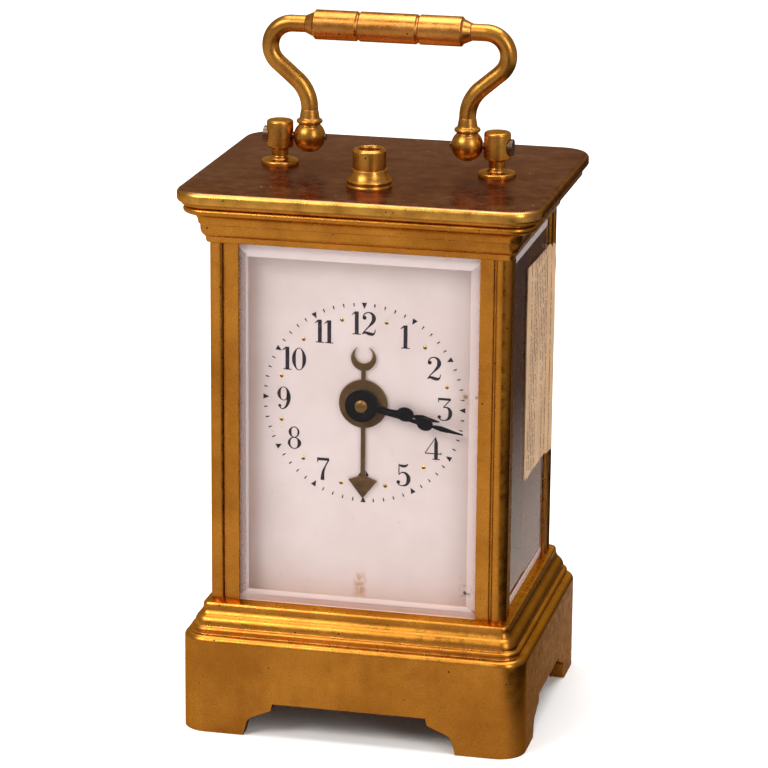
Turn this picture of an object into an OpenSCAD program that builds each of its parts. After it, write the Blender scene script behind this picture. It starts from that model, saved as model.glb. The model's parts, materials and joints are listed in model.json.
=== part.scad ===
// Carriage clock: a bevel-glazed brass case with a folding handle, a push-piece on top, an enamel
// dial with three hands, and an eight-day spring movement with an alarm and a platform escapement.
// Millimetres. Origin at the centre of the footprint, +Z up, the dial faces -Y.

/* [Case] */
// Width of the base over its skirt
base_w = 80; // [78:1:84]
// Depth of the base over its skirt
base_d = 70; // [69:1:72]
// Height of the base, up to the foot of the corner posts
base_h = 30; // [29:0.5:31]
// Width of the body over the corner posts
body_w = 69; // [68:0.5:69]
// Depth of the body over the corner posts
body_d = 56.6; // [56:0.2:57]
// Height of the corner posts
post_h = 84.3; // [84:0.1:86]
// Width of each corner post on each face
post_w = 7; // [6.8:0.1:7.2]
// Height of the moulded cornice, under the top plate
cornice_h = 9.6; // [9.4:0.1:10]
// Thickness of the top plate
plate_t = 2.8; // [2.4:0.1:3]
// Thickness of the bevelled glasses
glass_t = 1.6; // [1.4:0.1:1.6]

/* [Handle] */
// Distance of each handle post from the middle
handle_post_x = 25.3; // [25:0.1:25.6]
// Height of the handle's pivots above the top plate
pivot_rise = 6.7; // [6.5:0.1:7]
// Height of the grip's axis above the pivots
grip_rise = 25.8; // [25.5:0.1:26.5]
// Radius of the grip
grip_r = 3.4; // [3:0.1:3.5]
// Radius of the handle's bent arms
arm_r = 1.95; // [1.7:0.05:2]

/* [Button] */
// Distance of the push-piece in front of the middle
button_y = 18.1; // [18:0.1:18.3]
// Travel of the push-piece
button_travel = 2.5; // [2:0.1:2.5]

/* [Dial] */
// Height of the dial's centre above the surface it stands on
dial_z = 77.5; // [77.2:0.1:77.8]
// Length of the minute hand from its centre
minute_len = 24; // [22:0.5:24]
// Length of the hour hand from its centre
hour_len = 18; // [16:0.5:18.5]
// Minutes past three that the hands show
minutes = 17; // [16:1:18]

/* [Hidden] */
$fn = 64;

// Overlap that joins two volumes of one piece, and the gap round a fixed fit
join = 0.2;
fit = 0.02;
// Running clearance on a radius, and the clear gap between neighbours
run = 0.05;
gap = 0.3;

// Heights
body_z0 = base_h;
body_z1 = body_z0 + post_h;
plate_z0 = body_z1 + cornice_h;
plate_z1 = plate_z0 + plate_t;
pivot_z = plate_z1 + pivot_rise;
grip_z = pivot_z + grip_rise;

// Plan: the mouldings run round rectangles with half sizes line_x by line_y
base_out = 6;
base_line = [base_w / 2 - base_out, base_d / 2 - base_out];
top_out = 7.4;
top_line = [body_w / 2 - 0.5, body_d / 2 - 0.3];
open_x = body_w / 2 - post_w;
open_y = body_d / 2 - post_w;
glass_in = 0.9;
glass_y = body_d / 2 - glass_in;
glass_x = body_w / 2 - glass_in;
groove = 1.4;
wall = 3.2;

// Colours
brass = "darkgoldenrod";
old_brass = "saddlebrown";
steel = "silver";
blued = "midnightblue";

// ---------- shared shapes ----------

// Points of an arc, from angle a0 to a1
function arc(c, r, a0, a1, n = 6) =
  [for (i = [0:n]) let (a = a0 + (a1 - a0) * i / n) c + r * [cos(a), sin(a)]];

// Point reached from c in direction a
function polar(c, r, a) = c + r * [cos(a), sin(a)];

// A flat-sided ring sector, from radius r0 to r1
function sector(r0, r1, a0, a1, n = 4) = concat(arc([0, 0], r1, a0, a1, n), arc([0, 0], r0, a1, a0, n));

// The point at distances ra from a and rb from b, on the left of the line from a to b
function two_circles(a, ra, b, rb) =
  let (
    d = norm(b - a),
    u = (b - a) / d,
    s = (ra * ra - rb * rb + d * d) / (2 * d),
    h = sqrt(ra * ra - s * s)
  ) a + s * u + h * [-u.y, u.x];

function bearing(a, b) = atan2(b.y - a.y, b.x - a.x);

// Extrude a front view (x, z) from y0 back to y1, with its origin at p = [x, z]
module front_view(p, y0, y1) {
  translate([p.x, y1, p.y]) rotate([90, 0, 0]) linear_extrude(y1 - y0) children();
}

// A round bar along Y, and one along X
module bar_y(p, r, y0, y1) {
  translate([p.x, y1, p.y]) rotate([90, 0, 0]) cylinder(r = r, h = y1 - y0);
}

module bar_x(y, z, r, x0, x1) {
  translate([x0, y, z]) rotate([0, 90, 0]) cylinder(r = r, h = x1 - x0);
}

// A round bar upright at p = [x, y]
module bar_z(p, r, z0, z1) {
  translate([p.x, p.y, z0]) cylinder(r = r, h = z1 - z0);
}

module box(x0, x1, y0, y1, z0, z1) {
  translate([x0, y0, z0]) cube([x1 - x0, y1 - y0, z1 - z0]);
}

// A moulding: the profile [out, height] is run round a rectangle of half sizes line
module moulding(line, profile) {
  z0 = min([for (p = profile) p.y]);
  z1 = max([for (p = profile) p.y]);
  outline = concat([[0, z0]], profile, [[0, z1]]);
  for (sx = [-1, 1], sy = [-1, 1])
    translate([sx * line.x, sy * line.y, 0])
      rotate([0, 0, sx > 0 ? (sy > 0 ? 0 : -90) : (sy > 0 ? 90 : 180)])
        rotate_extrude(angle = 90) polygon(outline);
  for (s = [-1, 1]) {
    translate([s * line.x, s * line.y, 0]) rotate([90, 0, s > 0 ? 0 : 180])
      linear_extrude(2 * line.y) polygon(outline);
    translate([-s * line.x, s * line.y, 0]) rotate([90, 0, s > 0 ? 90 : -90])
      linear_extrude(2 * line.x) polygon(outline);
  }
  box(-line.x, line.x, -line.y, line.y, z0, z1);
}

// ---------- gears ----------

pressure = 25;
addendum = 0.8;
dedendum = 1.05;
play = 0.06;

function inv(a) = tan(a) * 180 / PI - a;

// Half the angle a tooth fills at radius r
function half_tooth(n, m, r) =
  let (rp = n * m / 2, rb = rp * cos(pressure))
  90 / n * (1 - play) + inv(pressure) - (r > rb ? inv(acos(rb / r)) : 0);

// Outline of a spur gear of n teeth and module m, with a tooth at angle a
function gear_points(n, m, a) =
  let (
    rp = n * m / 2,
    rb = rp * cos(pressure),
    rr = rp - dedendum * m,
    rt = rp + addendum * m,
    radii = rr < rb ? [rr, rb, rp, rt] : [rr, rp, rt]
  )
  [
    for (i = [0:n - 1])
      let (c = a + 360 * i / n)
      each concat(
        [for (r = radii) polar([0, 0], r, c - half_tooth(n, m, r))],
        [for (k = [len(radii) - 1:-1:0]) polar([0, 0], radii[k], c + half_tooth(n, m, radii[k]))]
      )
  ];

// Angle of a tooth on gear 2 (n2 teeth) that meshes with gear 1 (n1 teeth, a tooth at a1)
function mesh_angle(b, a1, n1, n2) = b + 180 - (180 - (b - a1) * n1) / n2;

// A flat-sided hole that clears a round arbor of radius r
module flat_bore(r) {
  circle(r = (r + fit) / cos(180 / 12), $fn = 12);
}

// A crossed-out wheel: n teeth, spokes, a rim and a hub round an arbor of radius r
module wheel(n, m, a, r, spokes, rim, hub) {
  inner = n * m / 2 - dedendum * m - rim;
  spoke = 1.4;
  difference() {
    polygon(gear_points(n, m, a));
    flat_bore(r);
    half = 180 / spokes;
    at_hub = half - asin(spoke / 2 / hub);
    at_rim = half - asin(spoke / 2 / inner);
    for (i = [0:spokes - 1]) rotate(360 * (i + 0.5) / spokes)
      polygon(concat(
        arc([0, 0], inner, -at_rim, at_rim, 8),
        arc([0, 0], hub, at_hub, -at_hub, 4)
      ));
  }
}

module pinion(n, m, a, r) {
  difference() {
    polygon(gear_points(n, m, a));
    flat_bore(r);
  }
}

// Saw teeth, leaning one way
function saw_points(n, r0, r1, lean) = [
  for (i = [0:n - 1])
    let (a = 360 * i / n)
    each [polar([0, 0], r0, a), polar([0, 0], r1, a + lean)]
];

// ---------- movement layout, as front views [x, z] ----------

// Plates
fp_y0 = -16.5;
fp_y1 = -15;
bp_y0 = 14.5;
bp_y1 = 16;
plates_z1 = 100;
plates_w = 50;

// Module and teeth of each pair, driver first
time_m = 0.4;
barrel_n = 80;
inter_pin_n = 12;
inter_m = 0.36;
inter_n = 60;
centre_pin_n = 12;
centre_m = 0.26;
centre_n = 80;
third_pin_n = 10;
third_m = 0.25;
third_n = 80;
fourth_pin_n = 10;
crown_n = 75;
escape_pin_n = 8;
crown_r = 7.5;

centre = [0, dial_z];
inter_d = (inter_n + centre_pin_n) * inter_m / 2;
inter = polar(centre, inter_d, -49.6);
barrel_d = (barrel_n + inter_pin_n) * time_m / 2;
barrel = polar(inter, barrel_d, -93.1);
fourth = [-9, 90];
third_d = (centre_n + third_pin_n) * centre_m / 2;
fourth_d = (third_n + fourth_pin_n) * third_m / 2;
third = two_circles(centre, third_d, fourth, fourth_d);

// Motion work
motion_d = 12;
cannon_n = 14;
minute_n = 42;
minute_pin_n = 12;
hour_n = 48;
motion_m = 2 * motion_d / (cannon_n + minute_n);
hour_m = 2 * motion_d / (minute_pin_n + hour_n);
minute_c = polar(centre, motion_d, -110);
alarm_m = 0.25;
alarm_n = 80;
alarm_pin_n = 16;
set_c = polar(centre, motion_d, 37.7);

// Alarm train
bell_m = 0.25;
bell_barrel_n = 60;
bell_pin_n = 10;
bell_barrel = [-16.5, 43];
bell_escape = polar(bell_barrel, (bell_barrel_n + bell_pin_n) * bell_m / 2, 106);
hammer_c = [-18.9, 59.5];
bell_c = [-13.5, 83.5];
bell_r = 10.5;

// Winding and setting squares end here, inside the door
square_y = 22;
pivot_r = 0.5;
arbor_r = 0.8;

// Front-view angles of the hands, clockwise from twelve
minute_turn = minutes * 6;
hour_turn = 90 + minutes / 2;

// ---------- case ----------

foot_len = 15.1;
apron_z = 8.2;

// Half of the cut between two bracket feet, from the foot at x = half out to the middle
function foot_cut(half) =
  concat(
    [[half, -1], [half, 0], [half - 0.95, 3.55], [half - 1.5, 4.2], [half - 2.5, 4.8]],
    [[half - 4.3, 5.5], [half - 6.6, 6.5], [half - 7, apron_z]]
  );

module foot_gap(half, length) {
  side = foot_cut(half);
  outline = concat(side, [for (i = [len(side) - 1:-1:0]) [-side[i].x, side[i].y]]);
  translate([0, length / 2, 0]) rotate([90, 0, 0]) linear_extrude(length) polygon(outline);
}

base_profile = concat(
  [[base_out, 0], [base_out, 21.7]],
  arc([4.6, 21.7], 1.4, 0, 80, 8),
  [[4.3, 23.2], [4.2, 23.6]],
  arc([3.9, 24.15], 0.55, -40, 85, 6),
  [[3.6, 24.85]],
  arc([1, 25.1], 2.6, 0, 52, 8),
  arc([4.08, 29.04], 2.4, 230, 188, 8),
  [[1.65, 29.5], [1.45, 29.85], [1.05, base_h]]
);

module base() {
  low = [base_w / 2 - wall, base_d / 2 - wall];
  high = [base_line.x - 1.5, base_line.y - 1.5];
  step_z = 20.5;
  color(brass) difference() {
    moulding(base_line, base_profile);
    box(-low.x, low.x, -low.y, low.y, -1, step_z);
    box(-high.x, high.x, -high.y, high.y, -1, base_h - wall);
    foot_gap(base_w / 2 - foot_len, base_d + 2);
    rotate([0, 0, 90]) foot_gap(base_d / 2 - foot_len, base_w + 2);
    at_posts() cylinder(r = case_screw_r + fit, h = base_h + 1);
    for (sx = [-1, 1], sy = [-1, 1])
      bar_z([sx * pillar_x, sy * movement_screw_y], movement_screw_r + fit, 0, base_h + 1);
    bar_z(door_axis, pin_r + fit, base_h - pin_in, base_h + 1);
  }
}

case_screw_r = 1;
case_screw = [30.2, 24.6];

module at_posts() {
  for (sx = [-1, 1], sy = [-1, 1])
    translate([sx * case_screw.x, sy * case_screw.y, 0]) children();
}

// Plan of a corner post: flat strips, a dark line and a rounded corner, with grooves for the glass
module post_plan() {
  x0 = open_x;
  y0 = open_y;
  x1 = body_w / 2;
  y1 = body_d / 2;
  strip = 3.1;
  sunk = 0.3;
  line_w = 0.5;
  line_d = 0.9;
  bead_r = 0.8;
  corner_r = 2.2;
  polygon(concat(
    [[x0, y0], [x1 - sunk, y0], [x1 - sunk, y0 + strip], [x1 - line_d, y0 + strip]],
    [[x1 - line_d, y0 + strip + line_w]],
    arc([x1 - bead_r, y0 + strip + line_w + bead_r], bead_r, -60, 0, 3),
    arc([x1 - corner_r, y1 - corner_r], corner_r, 0, 90, 8),
    arc([x0 + strip + line_w + bead_r, y1 - bead_r], bead_r, 90, 150, 3),
    [[x0 + strip + line_w, y1 - line_d], [x0 + strip, y1 - line_d], [x0 + strip, y1 - sunk]],
    [[x0, y1 - sunk]]
  ));
}

module corner_post() {
  clear = 0.05;
  difference() {
    translate([0, 0, body_z0]) linear_extrude(post_h) post_plan();
    box(open_x - 1, open_x + groove + clear, glass_y - glass_t - clear, glass_y + clear, 0, body_z1 + 1);
    box(glass_x - glass_t - clear, glass_x + clear, open_y - 1, open_y + groove + clear, 0, body_z1 + 1);
    for (z = [body_z0 - 1, body_z1 - screw_in])
      bar_z(case_screw, case_screw_r + fit, z, z + screw_in + 1);
  }
}

screw_in = 6;

module corner_posts() {
  color(brass) for (sx = [0, 1], sy = [0, 1]) mirror([sx, 0, 0]) mirror([0, sy, 0]) corner_post();
}

cornice_profile = concat(
  [[0.7, body_z1], [0.95, body_z1 + 0.4]],
  arc([0.1, body_z1 + 3.2], 2.1, -62, 0, 8),
  [[2.25, body_z1 + 4.2], [2.6, body_z1 + 4.35]],
  arc([5, body_z1 + 4.6], 2.3, 178, 102, 9),
  [[5.1, body_z1 + 6.95]],
  arc([5.2, body_z1 + 7.75], 0.8, -75, 80, 8),
  [[5.1, body_z1 + 8.65], [6.2, body_z1 + 8.85], [6.4, body_z1 + 9.1], [6.4, plate_z0]]
);

counterbore_z = body_z1 + 4.7;

module cornice() {
  inner = [29, 21];
  color(brass) difference() {
    moulding(top_line, cornice_profile);
    box(-inner.x, inner.x, -inner.y, inner.y, body_z1 - 1, plate_z0 + 1);
    at_posts() translate([0, 0, body_z1 - 1]) cylinder(r = case_screw_r + fit, h = cornice_h + 2);
    at_posts() translate([0, 0, counterbore_z]) cylinder(r = 2, h = cornice_h);
    bar_z(door_axis, pin_r + fit, body_z1 - 1, body_z1 + pin_in);
  }
}

plate_profile = concat(
  [[top_out - 0.8, plate_z0], [top_out - 0.2, plate_z0 + 0.15], [top_out, plate_z0 + 0.5]],
  arc([top_out - 1.1, plate_z1 - 1.1], 1.1, 4, 80, 7),
  [[top_out - 1.3, plate_z1]]
);

module top_plate() {
  color(old_brass) difference() {
    moulding(top_line, plate_profile);
    for (s = [-1, 1]) bar_z([s * handle_post_x, 0], stud_r + fit, plate_z0 - 1, plate_z1 + 1);
    bar_z([0, -button_y], rod_r + run, plate_z0 - 1, plate_z1 + 1);
  }
}

// A cheese-head screw pointing up, its head's underside at z = 0, with a slot
module screw(r, length, head_r, head_h) {
  slot = 0.5;
  difference() {
    union() {
      cylinder(r = r, h = length);
      translate([0, 0, -head_h]) cylinder(r = head_r, h = head_h);
    }
    translate([-head_r - 1, -slot / 2, -head_h - 1]) cube([2 * head_r + 2, slot, 1 + head_h / 2]);
  }
}

module case_screws() {
  head_r = 1.7;
  head_h = 1.4;
  color(steel) at_posts() {
    translate([0, 0, base_h - wall]) screw(case_screw_r, wall + screw_in - 1.2, head_r, head_h);
    translate([0, 0, counterbore_z]) mirror([0, 0, 1])
      screw(case_screw_r, counterbore_z - body_z1 + screw_in - 0.4, head_r, head_h);
  }
}

// A glass standing in the XZ plane, its bevelled face at y = 0 and facing -Y
module bevelled_glass(half_w, z0, z1, bevel_w, bevel_h) {
  drop = 0.5;
  intersection() {
    translate([0, 0, z0]) linear_extrude(z1 - z0)
      polygon([
        [-half_w, glass_t], [-half_w, drop], [bevel_w - half_w, 0],
        [half_w - bevel_w, 0], [half_w, drop], [half_w, glass_t],
      ]);
    translate([half_w, 0, 0]) rotate([90, 0, -90]) linear_extrude(2 * half_w)
      polygon([
        [-glass_t, z0], [-drop, z0], [0, z0 + bevel_h],
        [0, z1 - bevel_h], [-drop, z1], [-glass_t, z1],
      ]);
  }
}

glass_z0 = body_z0 + 0.05;
glass_z1 = body_z1 - 0.05;

module front_glass() {
  color("lightcyan", 0.3) translate([0, -glass_y, 0])
    bevelled_glass(open_x + groove, glass_z0, glass_z1, 3.5, 3);
}

module side_glass() {
  translate([glass_x, 0, 0]) rotate([0, 0, 90])
    bevelled_glass(open_y + groove, glass_z0, glass_z1, 3.5, 3);
}

module side_glasses() {
  color("lightcyan", 0.3) for (s = [0, 1]) mirror([s, 0, 0]) side_glass();
}

// A torn paper label pasted on the outside of the right-hand glass and over the edge of the back post
label_y = [-4.4, 26];
label_z = [55.5, 106.6];
label_t = 0.12;

// Plan of the label: flat on the glass, then up and over the post's strip
module label_plan() {
  glass_x0 = glass_x + 0.03;
  strip_x = body_w / 2 - 0.26;
  post_x = body_w / 2 + 0.03;
  line = [
    [glass_x0, label_y[0] - 1], [glass_x0, open_y - 0.9], [strip_x, open_y],
    [strip_x, open_y + 3], [post_x, open_y + 3.9], [post_x, label_y[1] + 1],
  ];
  last = len(line) - 1;
  polygon(concat(line, [for (i = [last:-1:0]) line[i] + [label_t, 0]]));
}

module paper_label() {
  y0 = label_y[0];
  y1 = label_y[1];
  z0 = label_z[0];
  z1 = label_z[1];
  color("wheat") intersection() {
    translate([0, 0, z0 - 1]) linear_extrude(z1 - z0 + 2) label_plan();
    translate([glass_x - 1, 0, 0]) rotate([90, 0, 90]) linear_extrude(3) polygon([
      [y0 + 0.2, z0 + 2.3], [y0 - 0.3, z0 + 1.2], [y0 + 0.9, z0 + 1.5], [y0 + 1.6, z0 + 0.3],
      [y0 + 3, z0 + 0.9], [y0 + 4.4, z0 + 0.1], [y0 + 6, z0 + 0.5], [y1 - 4, z0 + 0.2], [y1 - 1, z0],
      [y1 - 0.4, z0 + 9], [y1 - 0.9, z0 + 21], [y1 - 0.1, z0 + 30], [y1 - 0.5, z0 + 41],
      [y1 + 0.3, z0 + 46], [y1 - 0.7, z1 - 2.6], [y1 - 0.2, z1 - 1.3], [y1 - 2.1, z1 - 0.4],
      [y1 - 3.4, z1 - 1.2], [y1 - 5, z1 - 0.1], [y1 - 7, z1 - 0.5], [y0 + 12, z1 - 0.3],
      [y0 + 0.7, z1], [y0 + 0.3, z1 - 14], [y0 + 0.6, z1 - 30],
    ]);
  }
}

// ---------- back door ----------

door_t = 2.6;
door_edge = 27.2;
door_axis = [door_edge - door_t / 2, 26.7];
door_z0 = body_z0 + 0.3;
door_z1 = body_z1 - 0.3;
door_stile = 4.2;
pin_r = 0.6;
pin_in = 2;
pin_out = 4;

module door_frame() {
  y0 = door_axis.y - door_t / 2;
  y1 = door_axis.y + door_t / 2;
  hole = door_edge - door_stile;
  rebate = 1.2;
  color(brass) difference() {
    union() {
      box(-door_edge, door_axis.x, y0, y1, door_z0, door_z1);
      bar_z(door_axis, door_t / 2, door_z0, door_z1);
    }
    box(-hole, hole, y0 - 1, y1 + 1, door_z0 + door_stile, door_z1 - door_stile);
    box(
      -hole - rebate, hole + rebate, y0 - 1, y0 + glass_t + fit,
      door_z0 + door_stile - rebate, door_z1 - door_stile + rebate
    );
    bar_z(door_axis, pin_r + run, door_z0 - 1, door_z0 + pin_out + gap);
    bar_z(door_axis, pin_r + run, door_z1 - pin_out - gap, door_z1 + 1);
    bar_y([-door_edge + door_stile / 2, dial_z], knob_stem_r + fit, y0 - 1, y1 + 1);
  }
}

module door_glass() {
  half = door_edge - door_stile + 1.15;
  y0 = door_axis.y - door_t / 2;
  color("lightcyan", 0.3) translate([0, y0 + glass_t, 0]) mirror([0, 1, 0])
    bevelled_glass(half, door_z0 + door_stile - 1.15, door_z1 - door_stile + 1.15, 3.2, 3.2);
}

knob_stem_r = 0.9;

module door_knob() {
  x = -door_edge + door_stile / 2;
  y0 = door_axis.y - door_t / 2;
  y1 = door_axis.y + door_t / 2;
  color(brass) translate([x, y0, dial_z]) rotate([-90, 0, 0]) rotate_extrude()
    polygon(concat(
      [[0, 0], [knob_stem_r, 0], [knob_stem_r, door_t], [1.5, door_t], [1.5, door_t + 0.5]],
      [[0.8, door_t + 1.1], [0.8, door_t + 1.5]],
      arc([0.5, door_t + 2.6], 1.3, -55, 90, 8),
      [[0, door_t + 3.9]]
    ));
}

module door_hinge_pins() {
  color(steel) {
    bar_z(door_axis, pin_r, base_h - pin_in, door_z0 + pin_out);
    bar_z(door_axis, pin_r, door_z1 - pin_out, body_z1 + pin_in);
  }
}

// ---------- handle ----------

stud_r = 1.2;
head_r = 3.05;
hinge_r = 0.8;
hinge_head_r = 1.9;
hinge_seat = 0.7;
ball_r = 3.65;
ball_x = handle_post_x - head_r - ball_r - 0.25;

module handle_posts() {
  color(brass) for (s = [0, 1]) mirror([s, 0, 0]) translate([handle_post_x, 0, 0]) difference() {
    union() {
      translate([0, 0, plate_z1]) rotate_extrude() polygon(concat(
        [[0, 0], [4.3, 0], [4.3, 0.5]],
        arc([3.9, 0.6], 0.4, 0, 90, 3),
        [[2.6, 1.2], [1.9, 1.9], [1.9, 3.5], [2.6, 3.95], [head_r - 0.15, 3.95]],
        [[head_r, 4.2], [head_r, 9.6]],
        arc([head_r - 0.6, 9.6], 0.6, 0, 75, 3),
        [[0, 10.5]]
      ));
      bar_z([0, 0], stud_r, plate_z0 - 3.4, plate_z1 + join);
    }
    bar_x(0, pivot_z, hinge_r + fit, -head_r - 1, head_r + 1);
    bar_x(0, pivot_z, hinge_head_r + fit, head_r - hinge_seat, head_r + 1);
  }
}

module handle_nuts() {
  color(brass) for (s = [-1, 1]) translate([s * handle_post_x, 0, plate_z0 - 2.4]) difference() {
    cylinder(r = 2.6, h = 2.4, $fn = 6);
    translate([0, 0, -1]) cylinder(r = stud_r + fit, h = 5);
  }
}

// Each hinge screw runs through a post's head into the ball of the handle
module pivot_screws() {
  seat_x = handle_post_x + head_r - hinge_seat + fit;
  head_l = 1.3;
  tip_x = ball_x - ball_r - 0.25;
  slot = 0.5;
  slot_x = seat_x + head_l - 0.4;
  reach = hinge_head_r + 1;
  color(steel) for (s = [0, 1]) mirror([s, 0, 0]) difference() {
    union() {
      bar_x(0, pivot_z, hinge_r, tip_x, seat_x + join);
      bar_x(0, pivot_z, hinge_head_r, seat_x, seat_x + head_l);
    }
    box(slot_x, slot_x + 2, -slot / 2, slot / 2, pivot_z - reach, pivot_z + reach);
  }
}

bend_r = 5.16;
bend_sweep = 139.5;
neck_r = 8.67;
grip_half = 16.85;
cone_len = 2.3;
bend_x = 27.5 - bend_r;

// A bent round bar in the XZ plane: centre c, from angle a0 through sweep
module bent_bar(c, radius, a0, sweep) {
  translate([c.x, 0, c.y]) rotate([90, 0, 0]) rotate([0, 0, a0])
    rotate_extrude(angle = sweep) translate([radius, 0]) circle(r = arm_r);
}

// A straight bar from a to b that runs a little way into the bends at its ends
module straight_bar(a, b) {
  slim = arm_r - 0.02;
  into = 0.3;
  translate([a.x, 0, a.y]) rotate([0, 90 - bearing(a, b), 0])
    translate([0, 0, -into]) cylinder(r = slim, h = norm(b - a) + 2 * into);
}

module handle_arm() {
  lean = bend_sweep - 90;
  bend_c = [bend_x, grip_z - bend_r];
  bend_end = polar(bend_c, bend_r, -lean);
  run_len = (bend_end.x - ball_x - neck_r * (1 - cos(lean))) / sin(lean);
  run_end = bend_end - run_len * [sin(lean), cos(lean)];
  neck_c = run_end + neck_r * [cos(lean), -sin(lean)];
  collar_z = pivot_z + 2.6;
  difference() {
    union() {
      straight_bar([grip_half + cone_len - 1.2, grip_z], [bend_x, grip_z]);
      bent_bar(bend_c, bend_r, -lean, bend_sweep);
      straight_bar(bend_end, run_end);
      bent_bar(neck_c, neck_r, 180 - lean, lean);
      straight_bar([ball_x, neck_c.y], [ball_x, pivot_z + 3]);
      translate([ball_x, 0, pivot_z]) sphere(r = ball_r);
      translate([ball_x, 0, collar_z]) rotate_extrude() polygon(concat(
        [[0, 0], [2.45, 0], [2.45, 0.45]],
        arc([2.5, 0.95], 0.5, -80, 80, 5),
        [[2.3, 1.7], [2.15, 2.6], [arm_r + 0.02, 3.6], [0, 3.6]]
      ));
    }
    bar_x(0, pivot_z, hinge_r + run, ball_x - ball_r - 1, ball_x + ball_r + 1);
  }
}

module handle_arm_right() {
  color(brass) handle_arm();
}

module handle_arm_left() {
  color(brass) mirror([1, 0, 0]) handle_arm();
}

module handle_grip() {
  ring_x = 6.9;
  ring_w = 0.5;
  ring_d = 0.35;
  socket = 1.5 + fit;
  end_x = grip_half + cone_len;
  side = [
    [end_x, arm_r + 0.05], [grip_half + 0.5, grip_r - 0.6], [grip_half, grip_r],
    [ring_x + ring_w, grip_r], [ring_x, grip_r - ring_d], [ring_x - ring_w, grip_r],
  ];
  color("peru") translate([0, 0, grip_z]) rotate([0, 90, 0]) difference() {
    rotate_extrude() polygon(concat(
      [[0, -end_x]],
      [for (p = side) [p.y, -p.x]],
      [for (i = [len(side) - 1:-1:0]) [side[i].y, side[i].x]],
      [[0, end_x]]
    ));
    for (s = [0, 1]) mirror([0, 0, s]) translate([0, 0, end_x - socket]) cylinder(r = arm_r + fit, h = 3);
  }
}

// ---------- push-piece ----------

sleeve_r = 3.74;
sleeve_h = 8.7;
bore_r = 2.65;
rod_r = 1.1;
plunger_top = plate_z1 + 7;
plunger_under = plate_z1 + 5.6;
rod_z0 = plates_z1 + 3.2;

module button_sleeve() {
  color(brass) translate([0, -button_y, plate_z1]) rotate_extrude() polygon(concat(
    [[bore_r, 0], [5.1, 0], [5.1, 0.4], [4.95, 0.7]],
    arc([8.2, 4.6], 4.4, -136, -172, 6),
    [[sleeve_r - 0.2, 4.15], [sleeve_r, 4.35], [sleeve_r, sleeve_h - 0.5], [sleeve_r - 0.5, sleeve_h]],
    [[bore_r + 0.3, sleeve_h], [bore_r, sleeve_h - 0.4]]
  ));
}

module button_plunger() {
  head = bore_r - run;
  color(brass) translate([0, -button_y, 0]) rotate_extrude() polygon(concat(
    [[0, rod_z0], [rod_r - 0.2, rod_z0], [rod_r, rod_z0 + 0.2], [rod_r, plunger_under]],
    [[head, plunger_under], [head, plunger_top - 0.4], [head - 0.4, plunger_top]],
    [[0, plunger_top]]
  ));
}

// A coil spring: rings of points swept along a helix
module button_spring() {
  turns = 5;
  steps = 14;
  sides = 6;
  wire = 0.2;
  coil_r = 1.85;
  z0 = plate_z1 + wire + 0.02;
  z1 = plunger_under - wire - 0.02;
  total = turns * steps;
  points = [
    for (i = [0:total], k = [0:sides - 1])
      let (a = 360 * i / steps, b = 360 * k / sides, r = coil_r + wire * cos(b))
      [r * cos(a), r * sin(a), z0 + (z1 - z0) * i / total + wire * sin(b)]
  ];
  faces = concat(
    [[for (k = [0:sides - 1]) k]],
    [
      for (i = [0:total - 1], k = [0:sides - 1])
        let (n = (k + 1) % sides, p = i * sides)
        each [[p + k, p + sides + k, p + sides + n], [p + k, p + sides + n, p + n]]
    ],
    [[for (k = [sides - 1:-1:0]) total * sides + k]]
  );
  color(steel) translate([0, -button_y, 0]) polyhedron(points, faces);
}

// ---------- dial and hands ----------

dial_y0 = -21.5;
dial_t = 1;
pipe_hole_r = 2.9;

module dial_plate() {
  half_w = open_x - 0.3;
  color("mistyrose") {
    difference() {
      box(-half_w, half_w, dial_y0, dial_y0 + dial_t, body_z0 + 0.2, body_z1 - 0.2);
      bar_y(centre, pipe_hole_r, dial_y0 - 1, dial_y0 + dial_t + 1);
    }
    for (sx = [-1, 1])
      bar_y([sx * dial_foot.x, dial_foot.y], dial_foot_r, dial_y0 + dial_t - join, fp_y0 + 1);
  }
}

dial_foot = [21, 45];
dial_foot_r = 0.9;

// Tubes nested round the centre arbor
cannon_r = [arbor_r + run, 1.4];
hour_pipe_r = [1.45, 1.95];
alarm_pipe_r = [2, 2.5];

alarm_hand_y = [-22.15, -21.75];
hour_hand_y = [-23.1, -22.75];
minute_hand_y = [-24.1, -23.75];
boss_r = 3.75;

// One side of a hand's outline as [half width, distance from the centre] pairs
module hand_outline(side) {
  polygon(concat(side, [for (i = [len(side) - 1:-1:0]) [-side[i].x, side[i].y]]));
}

// The leaf-shaped swelling of a hand, as pairs for hand_outline
function bulb(r, c, n) =
  [for (i = [0:n]) let (a = -70 + 150 * i / n) [r * cos(a), c + 1.25 * r * sin(a)]];

module hour_hand() {
  bulb_c = 10;
  color(blued) front_view(centre, hour_hand_y[0], hour_hand_y[1]) difference() {
    rotate(-hour_turn) union() {
      circle(r = boss_r - 0.1);
      hand_outline(concat(
        [[0.55, 2], [0.45, 6.5]], bulb(1.65, bulb_c, 7), [[0.5, 12.6], [0.75, 14], [0.1, hour_len]]
      ));
    }
    circle(r = hour_pipe_r[1] + fit);
  }
}

module minute_hand() {
  bulb_c = 15;
  color(blued) front_view(centre, minute_hand_y[0], minute_hand_y[1]) difference() {
    rotate(-minute_turn) union() {
      circle(r = boss_r);
      hand_outline(concat(
        [[0.5, 2], [0.4, 11.5]], bulb(1.5, bulb_c, 7), [[0.4, 17.4], [0.6, 18.8], [0.1, minute_len]]
      ));
    }
    circle(r = cannon_r[1] + fit);
  }
}

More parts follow.
